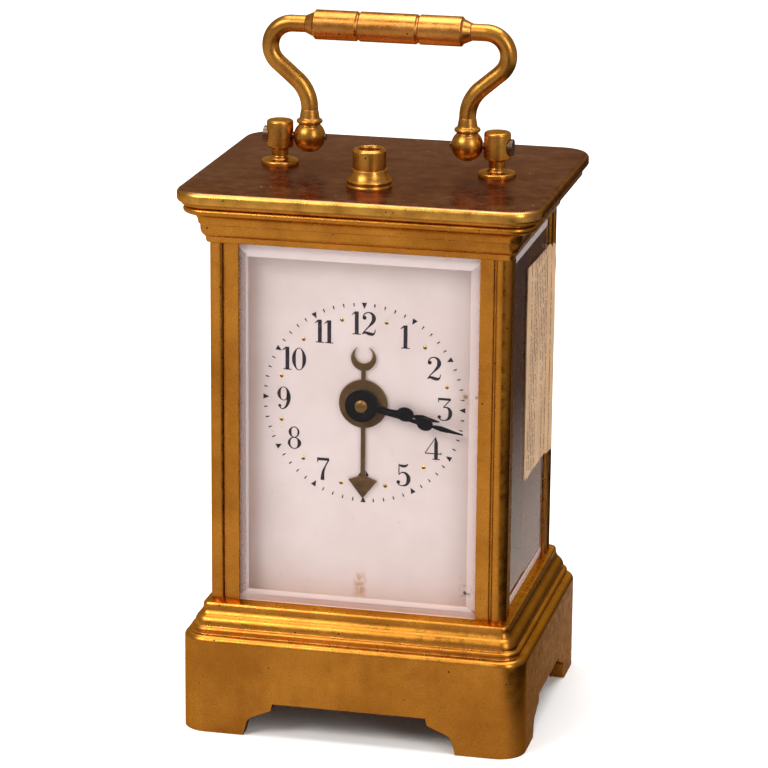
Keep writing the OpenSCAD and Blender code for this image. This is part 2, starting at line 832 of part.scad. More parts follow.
// The gilt alarm hand: an arrow pointing at six with a crescent tail
module alarm_hand() {
  disc_r = 5.6;
  shaft = 0.48;
  tip = 22.3;
  head_l = 4.7;
  head_w = 3.35;
  moon_c = 10.6;
  moon_r = 2.85;
  y0 = alarm_hand_y[0];
  y1 = alarm_hand_y[1];
  color(brass) difference() {
    union() {
      bar_y(centre, disc_r, y0, y1);
      front_view(centre, y0, y1) polygon([
        [shaft, -3], [shaft, -tip + head_l + 0.6], [head_w, -tip + head_l - 0.4], [0, -tip],
        [-head_w, -tip + head_l - 0.4], [-shaft, -tip + head_l + 0.6], [-shaft, -3],
      ]);
      front_view(centre, y0, y1) polygon([
        [shaft, 3], [shaft, moon_c - moon_r + 0.6], [-shaft, moon_c - moon_r + 0.6], [-shaft, 3],
      ]);
      difference() {
        bar_y(centre + [0, moon_c], moon_r, y0, y1);
        bar_y(centre + [0, moon_c + 0.9], moon_r - 0.75, y0 - 1, y1 + 1);
      }
    }
    bar_y(centre, alarm_pipe_r[1] + fit, y0 - 1, y1 + 1);
  }
}

// ---------- motion work, between the dial and the front plate ----------

cannon_y = [-17.9, -16.9];
hour_wheel_y = [-19.1, -18.2];
alarm_wheel_y = [-20.2, -19.4];

minute_b = bearing(centre, minute_c);
set_b = bearing(centre, set_c);

// The cannon pinion, friction-tight on the centre arbor, with the stud that holds the minute hand
module cannon_pinion() {
  stud_y = -25.1;
  color(brass) {
    difference() {
      union() {
        bar_y(centre, cannon_r[1], minute_hand_y[0] - 0.25, cannon_y[1] - 0.1);
        bar_y(centre, 1.15, stud_y, minute_hand_y[0]);
      }
      bar_y(centre, cannon_r[0], minute_hand_y[0] + 0.2, fp_y0);
    }
    front_view(centre, cannon_y[0], cannon_y[1]) pinion(cannon_n, motion_m, 0, cannon_r[1]);
  }
}

// The minute wheel and its pinion, on the arbor that sets the hands from the back
module minute_wheel() {
  wheel_a = mesh_angle(minute_b, 0, cannon_n, minute_n);
  color(brass) {
    front_view(minute_c, cannon_y[0], cannon_y[1]) wheel(minute_n, motion_m, wheel_a, arbor_r, 4, 1.3, 2.4);
    front_view(minute_c, hour_wheel_y[0], hour_wheel_y[1]) pinion(minute_pin_n, hour_m, 0, arbor_r);
    long_arbor(minute_c, hour_wheel_y[0] - 0.1);
  }
}

module hour_wheel() {
  a = mesh_angle(minute_b + 180, 0, minute_pin_n, hour_n);
  color(brass) {
    difference() {
      bar_y(centre, hour_pipe_r[1], hour_hand_y[0] - 0.2, hour_wheel_y[1]);
      bar_y(centre, hour_pipe_r[0], hour_hand_y[0] - 1, hour_wheel_y[1] + 1);
    }
    front_view(centre, hour_wheel_y[0], hour_wheel_y[1])
      wheel(hour_n, hour_m, a, hour_pipe_r[1], 4, 1.4, 4);
  }
}

module alarm_wheel() {
  color(brass) {
    difference() {
      bar_y(centre, alarm_pipe_r[1], alarm_hand_y[0] - 0.1, alarm_wheel_y[1]);
      bar_y(centre, alarm_pipe_r[0], alarm_hand_y[0] - 1, alarm_wheel_y[1] + 1);
    }
    front_view(centre, alarm_wheel_y[0], alarm_wheel_y[1])
      wheel(alarm_n, alarm_m, 0, alarm_pipe_r[1], 4, 1.4, 4.4);
  }
}

module alarm_set_arbor() {
  a = mesh_angle(set_b, 0, alarm_n, alarm_pin_n);
  color(brass) {
    front_view(set_c, alarm_wheel_y[0], alarm_wheel_y[1]) pinion(alarm_pin_n, alarm_m, a, arbor_r);
    long_arbor(set_c, alarm_wheel_y[0] - 0.1);
  }
}

// An arbor from y0 through both plates, with a key square at the back
module long_arbor(p, y0) {
  square_w = 1.7;
  union() {
    bar_y(p, arbor_r, y0, bp_y1 + 0.8);
    translate([p.x - square_w / 2, bp_y1 + 0.6, p.y - square_w / 2])
      cube([square_w, square_y - bp_y1 - 0.6, square_w]);
  }
}

// ---------- plates ----------

pillar_x = 22.3;
pillar_z = [33, 96];
pillar_r = 2.2;
movement_screw_r = 1;
movement_screw_y = 6;
plate_screw_r = 1;
through = [minute_c, set_c];
pivots = [inter, third, fourth, bell_escape];

module plate_shape(y0, y1) {
  difference() {
    box(-plates_w / 2, plates_w / 2, y0, y1, body_z0, plates_z1);
    for (p = through) bar_y(p, arbor_r + run, y0 - 1, y1 + 1);
    for (p = pivots) bar_y(p, pivot_r + run, y0 - 1, y1 + 1);
    for (sx = [-1, 1], z = pillar_z) bar_y([sx * pillar_x, z], plate_screw_r + fit, y0 - 1, y1 + 1);
    children();
  }
}

module front_plate() {
  color(brass) {
    plate_shape(fp_y0, fp_y1) {
      bar_y(centre, arbor_r + run, fp_y0 - 1, fp_y1 + 1);
      bar_y(barrel, arbor_r + run, fp_y0 - 1, fp_y1 + 1);
      bar_y(bell_barrel, arbor_r + run, fp_y0 - 1, fp_y1 + 1);
      bar_y(hammer_c, pivot_r + run, fp_y0 - 1, fp_y1 + 1);
      for (sx = [-1, 1]) bar_y([sx * dial_foot.x, dial_foot.y], dial_foot_r + fit, fp_y0 - 1, fp_y1 + 1);
      platform_holes();
    }
    bar_y(lever_c, lever_stud_r, lever_y[0] - 0.4, fp_y0 + join);
  }
}

module back_plate() {
  color(brass) {
    plate_shape(bp_y0, bp_y1) {
      bar_y(centre, pivot_r + run, bp_y0 - 1, bp_y1 + 1);
      bar_y(barrel, wind_r + run, bp_y0 - 1, bp_y1 + 1);
      bar_y(bell_barrel, wind_r + run, bp_y0 - 1, bp_y1 + 1);
      bar_y(hammer_c, arbor_r + run, bp_y0 - 1, bp_y1 + 1);
      platform_holes();
    }
    bar_y(bell_c, bell_stud_r, bp_y1 - join, bell_y[1] + 2.2);
    bar_y(click_pivot(barrel, 1), click_stud_r, bp_y1 - join, click_y[1] + 0.3);
    bar_y(click_pivot(bell_barrel, alarm_ratchet_k), click_stud_r, bp_y1 - join, click_y[1] + 0.3);
  }
}

module pillars() {
  bore_l = 6;
  color(brass) for (sx = [-1, 1], z = pillar_z) difference() {
    bar_y([sx * pillar_x, z], pillar_r, fp_y1, bp_y0);
    bar_y([sx * pillar_x, z], plate_screw_r + fit, fp_y1 - 1, fp_y1 + bore_l);
    bar_y([sx * pillar_x, z], plate_screw_r + fit, bp_y0 - bore_l, bp_y0 + 1);
    if (z == pillar_z[0])
      for (sy = [-1, 1])
        bar_z([sx * pillar_x, sy * movement_screw_y], movement_screw_r + fit, body_z0, z + 0.2);
  }
}

module pillar_screws() {
  head_r = 1.7;
  head_h = 1.2;
  length = 6.5;
  color(steel) for (sx = [-1, 1], z = pillar_z) {
    translate([sx * pillar_x, fp_y0, z]) rotate([-90, 0, 0]) screw(plate_screw_r, length, head_r, head_h);
    translate([sx * pillar_x, bp_y1, z]) rotate([90, 0, 0]) screw(plate_screw_r, length, head_r, head_h);
  }
}

module movement_screws() {
  head_r = 1.8;
  head_h = 1.3;
  color(steel) for (sx = [-1, 1], sy = [-1, 1])
    translate([sx * pillar_x, sy * movement_screw_y, base_h - wall])
      screw(movement_screw_r, wall + 2.8, head_r, head_h);
}

// ---------- going train ----------

wind_r = 1.3;
drum_r = 14.2;
drum_y = [-5.5, 11];
great_y = [-7.5, -5.5];
barrel_core_r = 3;
ring_bore = 13.4;

// A spring barrel: a toothed ring on a round drum, closed at both ends
module spring_barrel(c, n, m, bore, r, gear_y, y) {
  cap = 1;
  shell = 0.9;
  hole = wind_r + run;
  front_view(c, gear_y[0], gear_y[1]) difference() {
    polygon(gear_points(n, m, 0));
    polygon(arc([0, 0], bore / cos(180 / 36), 0, 350, 35));
  }
  difference() {
    union() {
      bar_y(c, bore - fit, gear_y[0], gear_y[1] + join);
      bar_y(c, r, gear_y[1] + fit, y[1]);
    }
    bar_y(c, r - shell, gear_y[1] + cap, y[1] - cap);
    bar_y(c, hole, gear_y[0] - 1, y[1] + 1);
  }
}

module time_barrel() {
  color(brass) spring_barrel(barrel, barrel_n, time_m, ring_bore, drum_r, great_y, drum_y);
}

// A flat spiral strip of thickness t, wound from r1 in to r0 in so many turns
module spiral(r0, r1, turns, t) {
  steps = 20;
  total = turns * steps;
  function at(i, off) = polar([0, 0], r1 + (r0 - r1) * i / total + off, 360 * i / steps);
  polygon(concat([for (i = [0:total]) at(i, 0)], [for (i = [total:-1:0]) at(i, -t)]));
}

module time_mainspring() {
  margin = 1.3;
  color(blued) front_view(barrel, great_y[1] + margin, drum_y[1] - margin)
    spiral(6, drum_r - 1.1, 8, 0.4);
}

// A winding arbor: a core for the spring, necks through the barrel's caps and a key square
module winding_arbor(c, core_r, core_y) {
  square_w = 1.8;
  bar_y(c, core_r, core_y[0], core_y[1]);
  bar_y(c, wind_r, core_y[1] - join, click_y[1] + 0.4);
  bar_y(c, wind_r, fp_y1 + 0.15, core_y[0] + join);
  bar_y(c, arbor_r, fp_y0 + 0.1, fp_y1 + 0.15 + join);
  translate([c.x - square_w / 2, click_y[1] + 0.2, c.y - square_w / 2])
    cube([square_w, square_y - click_y[1] - 0.2, square_w]);
}

module barrel_arbor() {
  margin = 1.2;
  color(steel) winding_arbor(barrel, barrel_core_r, [great_y[1] + margin, drum_y[1] - margin]);
}

// Ratchets and clicks stand on the back of the back plate
click_y = [16.25, 17.35];
ratchet_n = 24;
ratchet_r = [4.6, 5.4];
click_a = 60;
click_at = [7.9, 4.5];
click_stud_r = 0.7;
alarm_ratchet_k = 0.78;

function click_pivot(c, k) =
  polar(c, k * norm(click_at), click_a + atan2(click_at.y, click_at.x));

module ratchet(c, k) {
  front_view(c, click_y[0], click_y[1]) difference() {
    polygon(saw_points(ratchet_n, k * ratchet_r[0], k * ratchet_r[1], 12));
    flat_bore(wind_r);
  }
}

// A click whose beak rests against the steep side of a ratchet tooth
module click(c, k) {
  eye = 1.35;
  beak = [[4.78, 0.1], [5.5, 0.12]];
  front_view(c, click_y[0], click_y[1]) rotate(click_a) difference() {
    union() {
      polygon(k * [beak[0], beak[1], click_at + [0.9, -0.6], click_at + [-0.5, 1], [5.42, 1.2]]);
      translate(k * click_at) circle(r = eye);
    }
    translate(k * click_at) circle(r = click_stud_r + run);
  }
}

module ratchet_wheel() {
  color(steel) ratchet(barrel, 1);
}

module time_click() {
  color(steel) click(barrel, 1);
}

// A train arbor between the plates with a thin pivot at each end
module train_arbor(c) {
  bar_y(c, arbor_r, fp_y1 + 0.15, bp_y0 - 0.15);
  bar_y(c, pivot_r, fp_y0 + 0.1, fp_y1 + 0.15 + join);
  bar_y(c, pivot_r, bp_y0 - 0.15 - join, bp_y1 - 0.1);
}

inter_y = [-11, -9.8];
centre_y = [2, 3.2];
third_y = [7, 8];
mesh_over = 0.3;

module intermediate_wheel() {
  a = mesh_angle(bearing(barrel, inter), 0, barrel_n, inter_pin_n);
  color(brass) {
    front_view(inter, inter_y[0], inter_y[1]) wheel(inter_n, inter_m, 0, arbor_r, 5, 1.2, 2.4);
    front_view(inter, great_y[0] - mesh_over, great_y[1] + mesh_over)
      pinion(inter_pin_n, time_m, a, arbor_r);
    train_arbor(inter);
  }
}

module centre_wheel() {
  a = mesh_angle(bearing(inter, centre), 0, inter_n, centre_pin_n);
  color(brass) {
    front_view(centre, centre_y[0], centre_y[1]) wheel(centre_n, centre_m, 0, arbor_r, 5, 1, 2.2);
    front_view(centre, inter_y[0] - mesh_over, inter_y[1] + mesh_over)
      pinion(centre_pin_n, inter_m, a, arbor_r);
    bar_y(centre, arbor_r, minute_hand_y[0] + 0.4, bp_y0 - 0.15);
    bar_y(centre, pivot_r, bp_y0 - 0.15 - join, bp_y1 - 0.1);
  }
}

module third_wheel() {
  a = mesh_angle(bearing(centre, third), 0, centre_n, third_pin_n);
  color(brass) {
    front_view(third, third_y[0], third_y[1]) wheel(third_n, third_m, 0, arbor_r, 5, 1, 2.2);
    front_view(third, centre_y[0] - mesh_over, centre_y[1] + mesh_over)
      pinion(third_pin_n, centre_m, a, arbor_r);
    train_arbor(third);
  }
}

// The contrate wheel: teeth stand on its rim and point back, to turn the upright escape arbor
crown_m = 0.2;
crown_y = -0.6;
crown_rim = [7.05, 7.95];
crown_tooth_w = [7.25, 7.75];

module contrate_wheel() {
  a = mesh_angle(bearing(third, fourth), 0, third_n, fourth_pin_n);
  half = 0.115;
  tip_y = crown_y + addendum * crown_m;
  root_y = crown_y - dedendum * crown_m;
  slope = tan(pressure);
  disc_y = [-3, -2.2];
  spokes = 4;
  color(brass) {
    front_view(fourth, disc_y[0], disc_y[1]) difference() {
      polygon(arc([0, 0], crown_rim[1], 0, 360 - 360 / crown_n, crown_n - 1));
      flat_bore(arbor_r);
      for (i = [0:spokes - 1]) polygon(sector(2.4, 6.4, 90 * i + 12, 90 * i + 78, 8));
    }
    front_view(fourth, disc_y[1] - 0.1, root_y) difference() {
      polygon(arc([0, 0], crown_rim[1], 0, 360 - 360 / crown_n, crown_n - 1));
      polygon(arc([0, 0], crown_rim[0], 0, 360 - 360 / crown_n, crown_n - 1));
    }
    for (i = [0:crown_n - 1]) translate([fourth.x, 0, fourth.y]) rotate([0, 360 * i / crown_n, 0])
      translate([0, 0, crown_tooth_w[0]]) linear_extrude(crown_tooth_w[1] - crown_tooth_w[0])
        polygon([
          [-half - (crown_y - root_y + 0.1) * slope, root_y - 0.1],
          [half + (crown_y - root_y + 0.1) * slope, root_y - 0.1],
          [half - (tip_y - crown_y) * slope, tip_y], [(tip_y - crown_y) * slope - half, tip_y],
        ]);
    front_view(fourth, third_y[0] - mesh_over, third_y[1] + mesh_over)
      pinion(fourth_pin_n, third_m, a, arbor_r);
    train_arbor(fourth);
  }
}

// ---------- platform escapement, on top of the plates ----------

platform_z = [plates_z1, plates_z1 + 1.4];
escape_at = [fourth.x, crown_y + escape_pin_n * crown_m / 2];
pallet_at = [escape_at.x + 5.8, escape_at.y];
balance_at = [8.5, escape_at.y];
lever_z = [103, 103.5];
escape_r = 3.2;
bridge_z = [105, 106.2];
rim_z = [107, 107.9];
cock_z = [110.2, 111.4];
staff_r = 0.35;
fine_r = 0.2;
platform_x = [-16, 18];
platform_screw = [13, 15.75];
platform_screw_r = 0.45;

module at_platform_screws() {
  for (sx = [-1, 1], y = [(fp_y0 + fp_y1) / 2, (bp_y0 + bp_y1) / 2])
    translate([sx * platform_screw.x, y, 0]) children();
}

module platform_holes() {
  at_platform_screws() bar_z([0, 0], platform_screw_r + fit, plates_z1 - 4, plates_z1 + 3);
}

module platform_plate() {
  hanger = [0.8, 3.4, 4.6];
  hanger_z = [95.2, 95.9];
  color(brass) difference() {
    union() {
      box(platform_x[0], platform_x[1], fp_y0, bp_y1, platform_z[0], platform_z[1]);
      box(
        escape_at.x - hanger[0], escape_at.x + hanger[0], escape_at.y + hanger[1], escape_at.y + hanger[2],
        hanger_z[0], platform_z[0] + join
      );
      box(
        escape_at.x - hanger[0], escape_at.x + hanger[0], escape_at.y - 0.9, escape_at.y + hanger[2],
        hanger_z[0], hanger_z[1]
      );
    }
    bar_z(escape_at, staff_r + run, hanger_z[0] - 1, platform_z[1] + 1);
    bar_z(pallet_at, fine_r + run, platform_z[0] - 1, platform_z[1] + 1);
    bar_z(balance_at, fine_r + run, platform_z[0] - 1, platform_z[1] + 1);
    platform_holes();
  }
}

module platform_screws() {
  color(blued) at_platform_screws() translate([0, 0, platform_z[1]]) mirror([0, 0, 1])
    screw(platform_screw_r, 4.6, 0.75, 0.8);
}

// A bridge of the platform: a foot at one end and a plate over the pivots
module bridge(foot, width, over, z) {
  union() {
    box(foot.x - width / 2, foot.x + width / 2, foot.y - 1.6, foot.y + 1.6, platform_z[1], z[1]);
    translate([0, 0, z[0]]) linear_extrude(z[1] - z[0]) union() {
      for (p = over) translate(p) circle(r = 1.9);
      polygon(concat(
        [[foot.x + width / 2, foot.y], [foot.x - width / 2, foot.y]],
        [for (p = over) p + [p.x < foot.x ? -1.5 : 1.5, 0]]
      ));
    }
  }
}

module escape_bridge() {
  color(brass) difference() {
    bridge([escape_at.x + 2.9, 8.5], 8, [escape_at, pallet_at], bridge_z);
    for (p = [escape_at, pallet_at]) bar_z(p, fine_r + run, bridge_z[0] - 1, bridge_z[1] + 1);
  }
}

module escape_wheel() {
  teeth = 15;
  wheel_z = [103, 103.4];
  pinion_z = [96.7, 98.3];
  color(brass) {
    translate([escape_at.x, escape_at.y, wheel_z[0]]) linear_extrude(wheel_z[1] - wheel_z[0]) difference() {
      polygon([
        for (i = [0:teeth - 1])
          let (a = 360 * i / teeth)
          each [
            polar([0, 0], 2.3, a - 6), polar([0, 0], escape_r, a),
            polar([0, 0], escape_r - 0.05, a + 2), polar([0, 0], 2.3, a + 6),
          ]
      ]);
      flat_bore(staff_r);
      for (i = [0:3]) polygon(sector(0.9, 1.8, 90 * i + 14, 90 * i + 76));
    }
    translate([escape_at.x, escape_at.y, pinion_z[0]]) linear_extrude(pinion_z[1] - pinion_z[0])
      pinion(escape_pin_n, crown_m, -90 + 180 / escape_pin_n, staff_r);
    bar_z(escape_at, staff_r, 95.4, bridge_z[0] - 0.1);
    bar_z(escape_at, fine_r, bridge_z[0] - 0.3, bridge_z[1] - 0.1);
  }
}

// The pallet lever: two pallets reach round the escape wheel and a fork points at the balance
module pallet_lever() {
  fork_x = balance_at.x - 1.35 - 0.35;
  fork_l = fork_x - pallet_at.x;
  color(steel) {
    translate([pallet_at.x, pallet_at.y, lever_z[0]]) linear_extrude(lever_z[1] - lever_z[0]) difference() {
      union() {
        circle(r = 0.8);
        polygon([
          [0.2, 0.45], [fork_l - 1.2, 0.2], [fork_l - 0.6, 0.75], [fork_l, 0.75], [fork_l, 0.3],
          [fork_l - 0.7, 0.15], [fork_l - 0.7, -0.15], [fork_l, -0.3], [fork_l, -0.75],
          [fork_l - 0.6, -0.75], [fork_l - 1.2, -0.2], [0.2, -0.45],
        ]);
        for (s = [-1, 1]) polygon([
          [0.3, s * 0.1], [0.1, s * 0.7], [-2.2, s * 3.2], [-3.1, s * 3.1], [-2.95, s * 2.65],
          [-2.3, s * 2.55], [-0.3, s * 0.2],
        ]);
      }
      circle(r = staff_r);
    }
    bar_z(pallet_at, staff_r + 0.05, platform_z[1] + 0.1, bridge_z[0] - 0.1);
    bar_z(pallet_at, fine_r, platform_z[0] + 0.2, bridge_z[1] - 0.1);
  }
}

balance_r = 6.5;

module balance_wheel() {
  rim = 0.8;
  screws = 8;
  color(brass) {
    translate([balance_at.x, balance_at.y, rim_z[0]]) {
      difference() {
        cylinder(r = balance_r, h = rim_z[1] - rim_z[0]);
        translate([0, 0, -1]) cylinder(r = balance_r - rim, h = 3);
      }
      box(-balance_r + rim / 2, balance_r - rim / 2, -0.45, 0.45, 0.2, 0.7);
      for (i = [0:screws - 1]) rotate([0, 0, 360 * (i + 0.5) / screws])
        bar_x(0, 0.45, 0.28, balance_r - 0.3, balance_r + 0.5);
    }
    bar_z(balance_at, 0.5, platform_z[1] + 0.2, cock_z[0] - 0.15);
    bar_z(balance_at, fine_r, platform_z[0] + 0.2, cock_z[1] - 0.1);
    bar_z(balance_at, 1.7, 103.65, 104.25);
    bar_z(balance_at - [1.35, 0], 0.13, 102.9, 103.8);
  }
}

spring_z = [108.6, 108.9];
spring_r = [0.75, 3.7];

module hairspring() {
  color(blued) translate([balance_at.x, balance_at.y, spring_z[0]])
    linear_extrude(spring_z[1] - spring_z[0]) rotate(-60) spiral(spring_r[0], spring_r[1], 7, 0.1);
}

module balance_cock() {
  foot_y = 11;
  stud = polar(balance_at, spring_r[1] + 0.35, -60);
  color(brass) {
    difference() {
      union() {
        box(balance_at.x - 3, balance_at.x + 3, foot_y - 1.8, foot_y + 1.8, platform_z[1], cock_z[1]);
        translate([0, 0, cock_z[0]]) linear_extrude(cock_z[1] - cock_z[0]) union() {
          polygon([
            [balance_at.x - 3, foot_y], [balance_at.x - 1.9, balance_at.y], [stud.x - 0.4, stud.y - 0.5],
            [stud.x + 0.6, stud.y - 0.3], [balance_at.x + 2.4, balance_at.y], [balance_at.x + 3, foot_y],
          ]);
          translate(balance_at) circle(r = 2.2);
        }
      }
      bar_z(balance_at, fine_r + run, cock_z[0] - 1, cock_z[1] + 1);
    }
    bar_z(stud, 0.25, spring_z[0], cock_z[0] + join);
    difference() {
      bar_z(balance_at, 1, cock_z[1] - join, cock_z[1] + 0.7);
      bar_z(balance_at, fine_r + run, cock_z[1] - 1, cock_z[1] + 2);
    }
  }
}

// The regulator turns about the balance's axis and ends in a pointer
module regulator() {
  index_z = [cock_z[1] + 0.1, cock_z[1] + 0.5];
  thick = index_z[1] - index_z[0];
  color(steel) translate([balance_at.x, balance_at.y, index_z[0]]) difference() {
    union() {
      cylinder(r = 1.7, h = thick);
      linear_extrude(thick) polygon([[-0.6, 1.2], [-0.15, 7.5], [0.15, 7.5], [0.6, 1.2]]);
      linear_extrude(thick) polygon([[-0.5, -1.2], [-0.3, -3.2], [0.3, -3.2], [0.5, -1.2]]);
    }
    translate([0, 0, -1]) cylinder(r = 1 + run, h = 3);
  }
}

// ---------- alarm ----------

bell_great_y = [-7.6, -6.2];
bell_drum_y = [-6, 6];
bell_escape_y = [8, 9];
bell_drum_r = 6.7;

module alarm_barrel() {
  color(brass)
    spring_barrel(bell_barrel, bell_barrel_n, bell_m, 6.2, bell_drum_r, bell_great_y, bell_drum_y);
}

module alarm_arbor() {
  color(steel) {
    winding_arbor(bell_barrel, 2.2, [bell_great_y[1] + 1.2, bell_drum_y[1] - 1.2]);
    ratchet(bell_barrel, alarm_ratchet_k);
  }
}

module alarm_click() {
  color(steel) click(bell_barrel, alarm_ratchet_k);
}

module alarm_escape_wheel() {
  a = mesh_angle(bearing(bell_barrel, bell_escape), 0, bell_barrel_n, bell_pin_n);
  color(brass) {
    front_view(bell_escape, bell_escape_y[0], bell_escape_y[1]) difference() {
      polygon(saw_points(15, 3.3, 4.4, 14));
      flat_bore(arbor_r);
    }
    front_view(bell_escape, bell_great_y[0] - mesh_over, bell_great_y[1] + mesh_over)
      pinion(bell_pin_n, bell_m, a, arbor_r);
    train_arbor(bell_escape);
  }
}

hammer_l = 17;
hammer_rest = 108.6;
hammer_y = [16.4, 17.2];

// The hammer: pallets over the alarm's escape wheel, an arbor, and an arm and head outside the back plate
module alarm_hammer() {
  head = polar([0, 0], hammer_l, hammer_rest);
  head_r = 1.5;
  color(steel) {
    bar_y(hammer_c, arbor_r, fp_y1 + 0.15, hammer_y[1]);
    bar_y(hammer_c, pivot_r, fp_y0 + 0.1, fp_y1 + 0.15 + join);
    front_view(hammer_c, bell_escape_y[0], bell_escape_y[1]) difference() {
      union() {
        circle(r = 1.6);
        for (s = [-1, 1]) polygon([
          [0, s * 0.4], [s * 1.4, 0.2], [s * 4.4, -3.4], [s * 3.9, -4.1], [s * 3.4, -3.6], [0, -1.2],
        ]);
      }
      circle(r = arbor_r - join);
    }
    front_view(hammer_c, hammer_y[0], hammer_y[1]) union() {
      circle(r = 1.6);
      rotate(hammer_rest) polygon([[0, -0.7], [0, 0.7], [hammer_l, 0.5], [hammer_l, -0.5]]);
    }
    bar_y(hammer_c + head, head_r, hammer_y[0], hammer_y[1] + 2);
  }
}

bell_y = [17.4, 22.4];
bell_stud_r = 0.9;

module bell() {
  shell = 0.7;
  top_r = 2.6;
  rise = bell_y[1] - bell_y[0];
  color(brass) translate([bell_c.x, bell_y[0], bell_c.y]) rotate([-90, 0, 0]) {
    difference() {
      rotate_extrude() polygon(concat(
        [[bell_r, 0], [bell_r, 0.6]],
        arc([bell_r - 3.6, 0.8], 3.4, 10, 80, 6),
        [[4.4, rise - 0.5], [top_r, rise], [0, rise]],
        [[0, rise - shell], [top_r - 0.2, rise - shell], [4.2, rise - 0.5 - shell]],
        arc([bell_r - 3.6, 0.8], 3.4 - shell, 80, 10, 6),
        [[bell_r - shell, 0]]
      ));
      translate([0, 0, -1]) cylinder(r = bell_stud_r + fit, h = rise + 2);
    }
    translate([0, 0, rise + fit]) difference() {
      cylinder(r = 1.9, h = 1.3, $fn = 6);
      translate([0, 0, -1]) cylinder(r = bell_stud_r + fit, h = 4);
    }
  }
}

lever_c = [-16, 96];
lever_y = [-18.8, -17.9];
lever_stud_r = 1.2;

// The lever that the push-piece presses, pivoted on the front plate
module alarm_lever() {
  pad = [-lever_c.x + 0.1, rod_z0 - 0.15 - lever_c.y];
  color(steel) difference() {
    union() {
      bar_y(lever_c, 2.4, lever_y[0], lever_y[1]);
      front_view(lever_c, lever_y[0], lever_y[1]) polygon([
        [1, 1.9], [pad.x - 1.5, pad.y - 0.9], [pad.x, pad.y], [pad.x + 1.9, pad.y],
        [pad.x + 1.9, pad.y - 1.2], [pad.x - 1.2, pad.y - 2.4], [1.7, -0.6],
      ]);
      front_view(lever_c, lever_y[0], lever_y[1]) polygon([
        [-2, -0.3], [-5.2, -11], [-3.6, -12], [-2.4, -11.2], [0.3, -1.8],
      ]);
    }
    bar_y(lever_c, lever_stud_r + run, lever_y[0] - 1, lever_y[1] + 1);
  }
}

base();
corner_posts();
cornice();
top_plate();
case_screws();
front_glass();
side_glasses();
paper_label();
door_frame();
door_glass();
door_knob();
door_hinge_pins();
handle_posts();
handle_nuts();
pivot_screws();
handle_arm_left();
handle_arm_right();
handle_grip();
button_sleeve();
button_plunger();
button_spring();
dial_plate();
hour_hand();
minute_hand();
alarm_hand();
cannon_pinion();
minute_wheel();
hour_wheel();
alarm_wheel();
alarm_set_arbor();
front_plate();
back_plate();
pillars();
pillar_screws();
movement_screws();
time_barrel();
time_mainspring();
barrel_arbor();
ratchet_wheel();
time_click();
intermediate_wheel();
centre_wheel();
third_wheel();
contrate_wheel();
platform_plate();
platform_screws();
escape_bridge();
escape_wheel();
pallet_lever();
balance_wheel();
hairspring();
balance_cock();
regulator();
alarm_barrel();
alarm_arbor();
alarm_click();
alarm_escape_wheel();
alarm_hammer();
bell();
alarm_lever();
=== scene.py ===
import json
import math

import bmesh
import bpy
from mathutils import Matrix, Vector


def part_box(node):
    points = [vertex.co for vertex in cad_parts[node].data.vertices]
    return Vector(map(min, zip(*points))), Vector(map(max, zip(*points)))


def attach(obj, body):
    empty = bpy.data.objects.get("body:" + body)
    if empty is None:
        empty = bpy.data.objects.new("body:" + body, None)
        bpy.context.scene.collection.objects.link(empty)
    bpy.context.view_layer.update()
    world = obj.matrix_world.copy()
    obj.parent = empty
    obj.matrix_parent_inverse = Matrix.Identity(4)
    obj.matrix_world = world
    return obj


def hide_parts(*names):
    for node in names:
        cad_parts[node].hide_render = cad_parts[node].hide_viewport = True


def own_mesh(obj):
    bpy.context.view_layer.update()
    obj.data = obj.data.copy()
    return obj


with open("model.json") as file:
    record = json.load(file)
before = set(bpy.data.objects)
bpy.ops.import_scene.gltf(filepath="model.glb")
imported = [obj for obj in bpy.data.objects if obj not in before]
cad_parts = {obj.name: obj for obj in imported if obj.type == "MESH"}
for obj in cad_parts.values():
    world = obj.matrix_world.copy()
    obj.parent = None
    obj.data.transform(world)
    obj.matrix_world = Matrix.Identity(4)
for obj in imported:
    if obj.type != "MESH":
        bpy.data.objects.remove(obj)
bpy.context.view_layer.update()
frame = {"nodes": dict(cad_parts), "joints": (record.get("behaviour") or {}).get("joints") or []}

# A brass carriage clock with an alarm: finishes, dial printing, light and camera around the
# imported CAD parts.

MM = 0.001
NODES = frame["nodes"]
joint_at = {j["name"]: Vector(j["pos_m"]) for j in frame["joints"] if "pos_m" in j}

# ---------- material building ----------


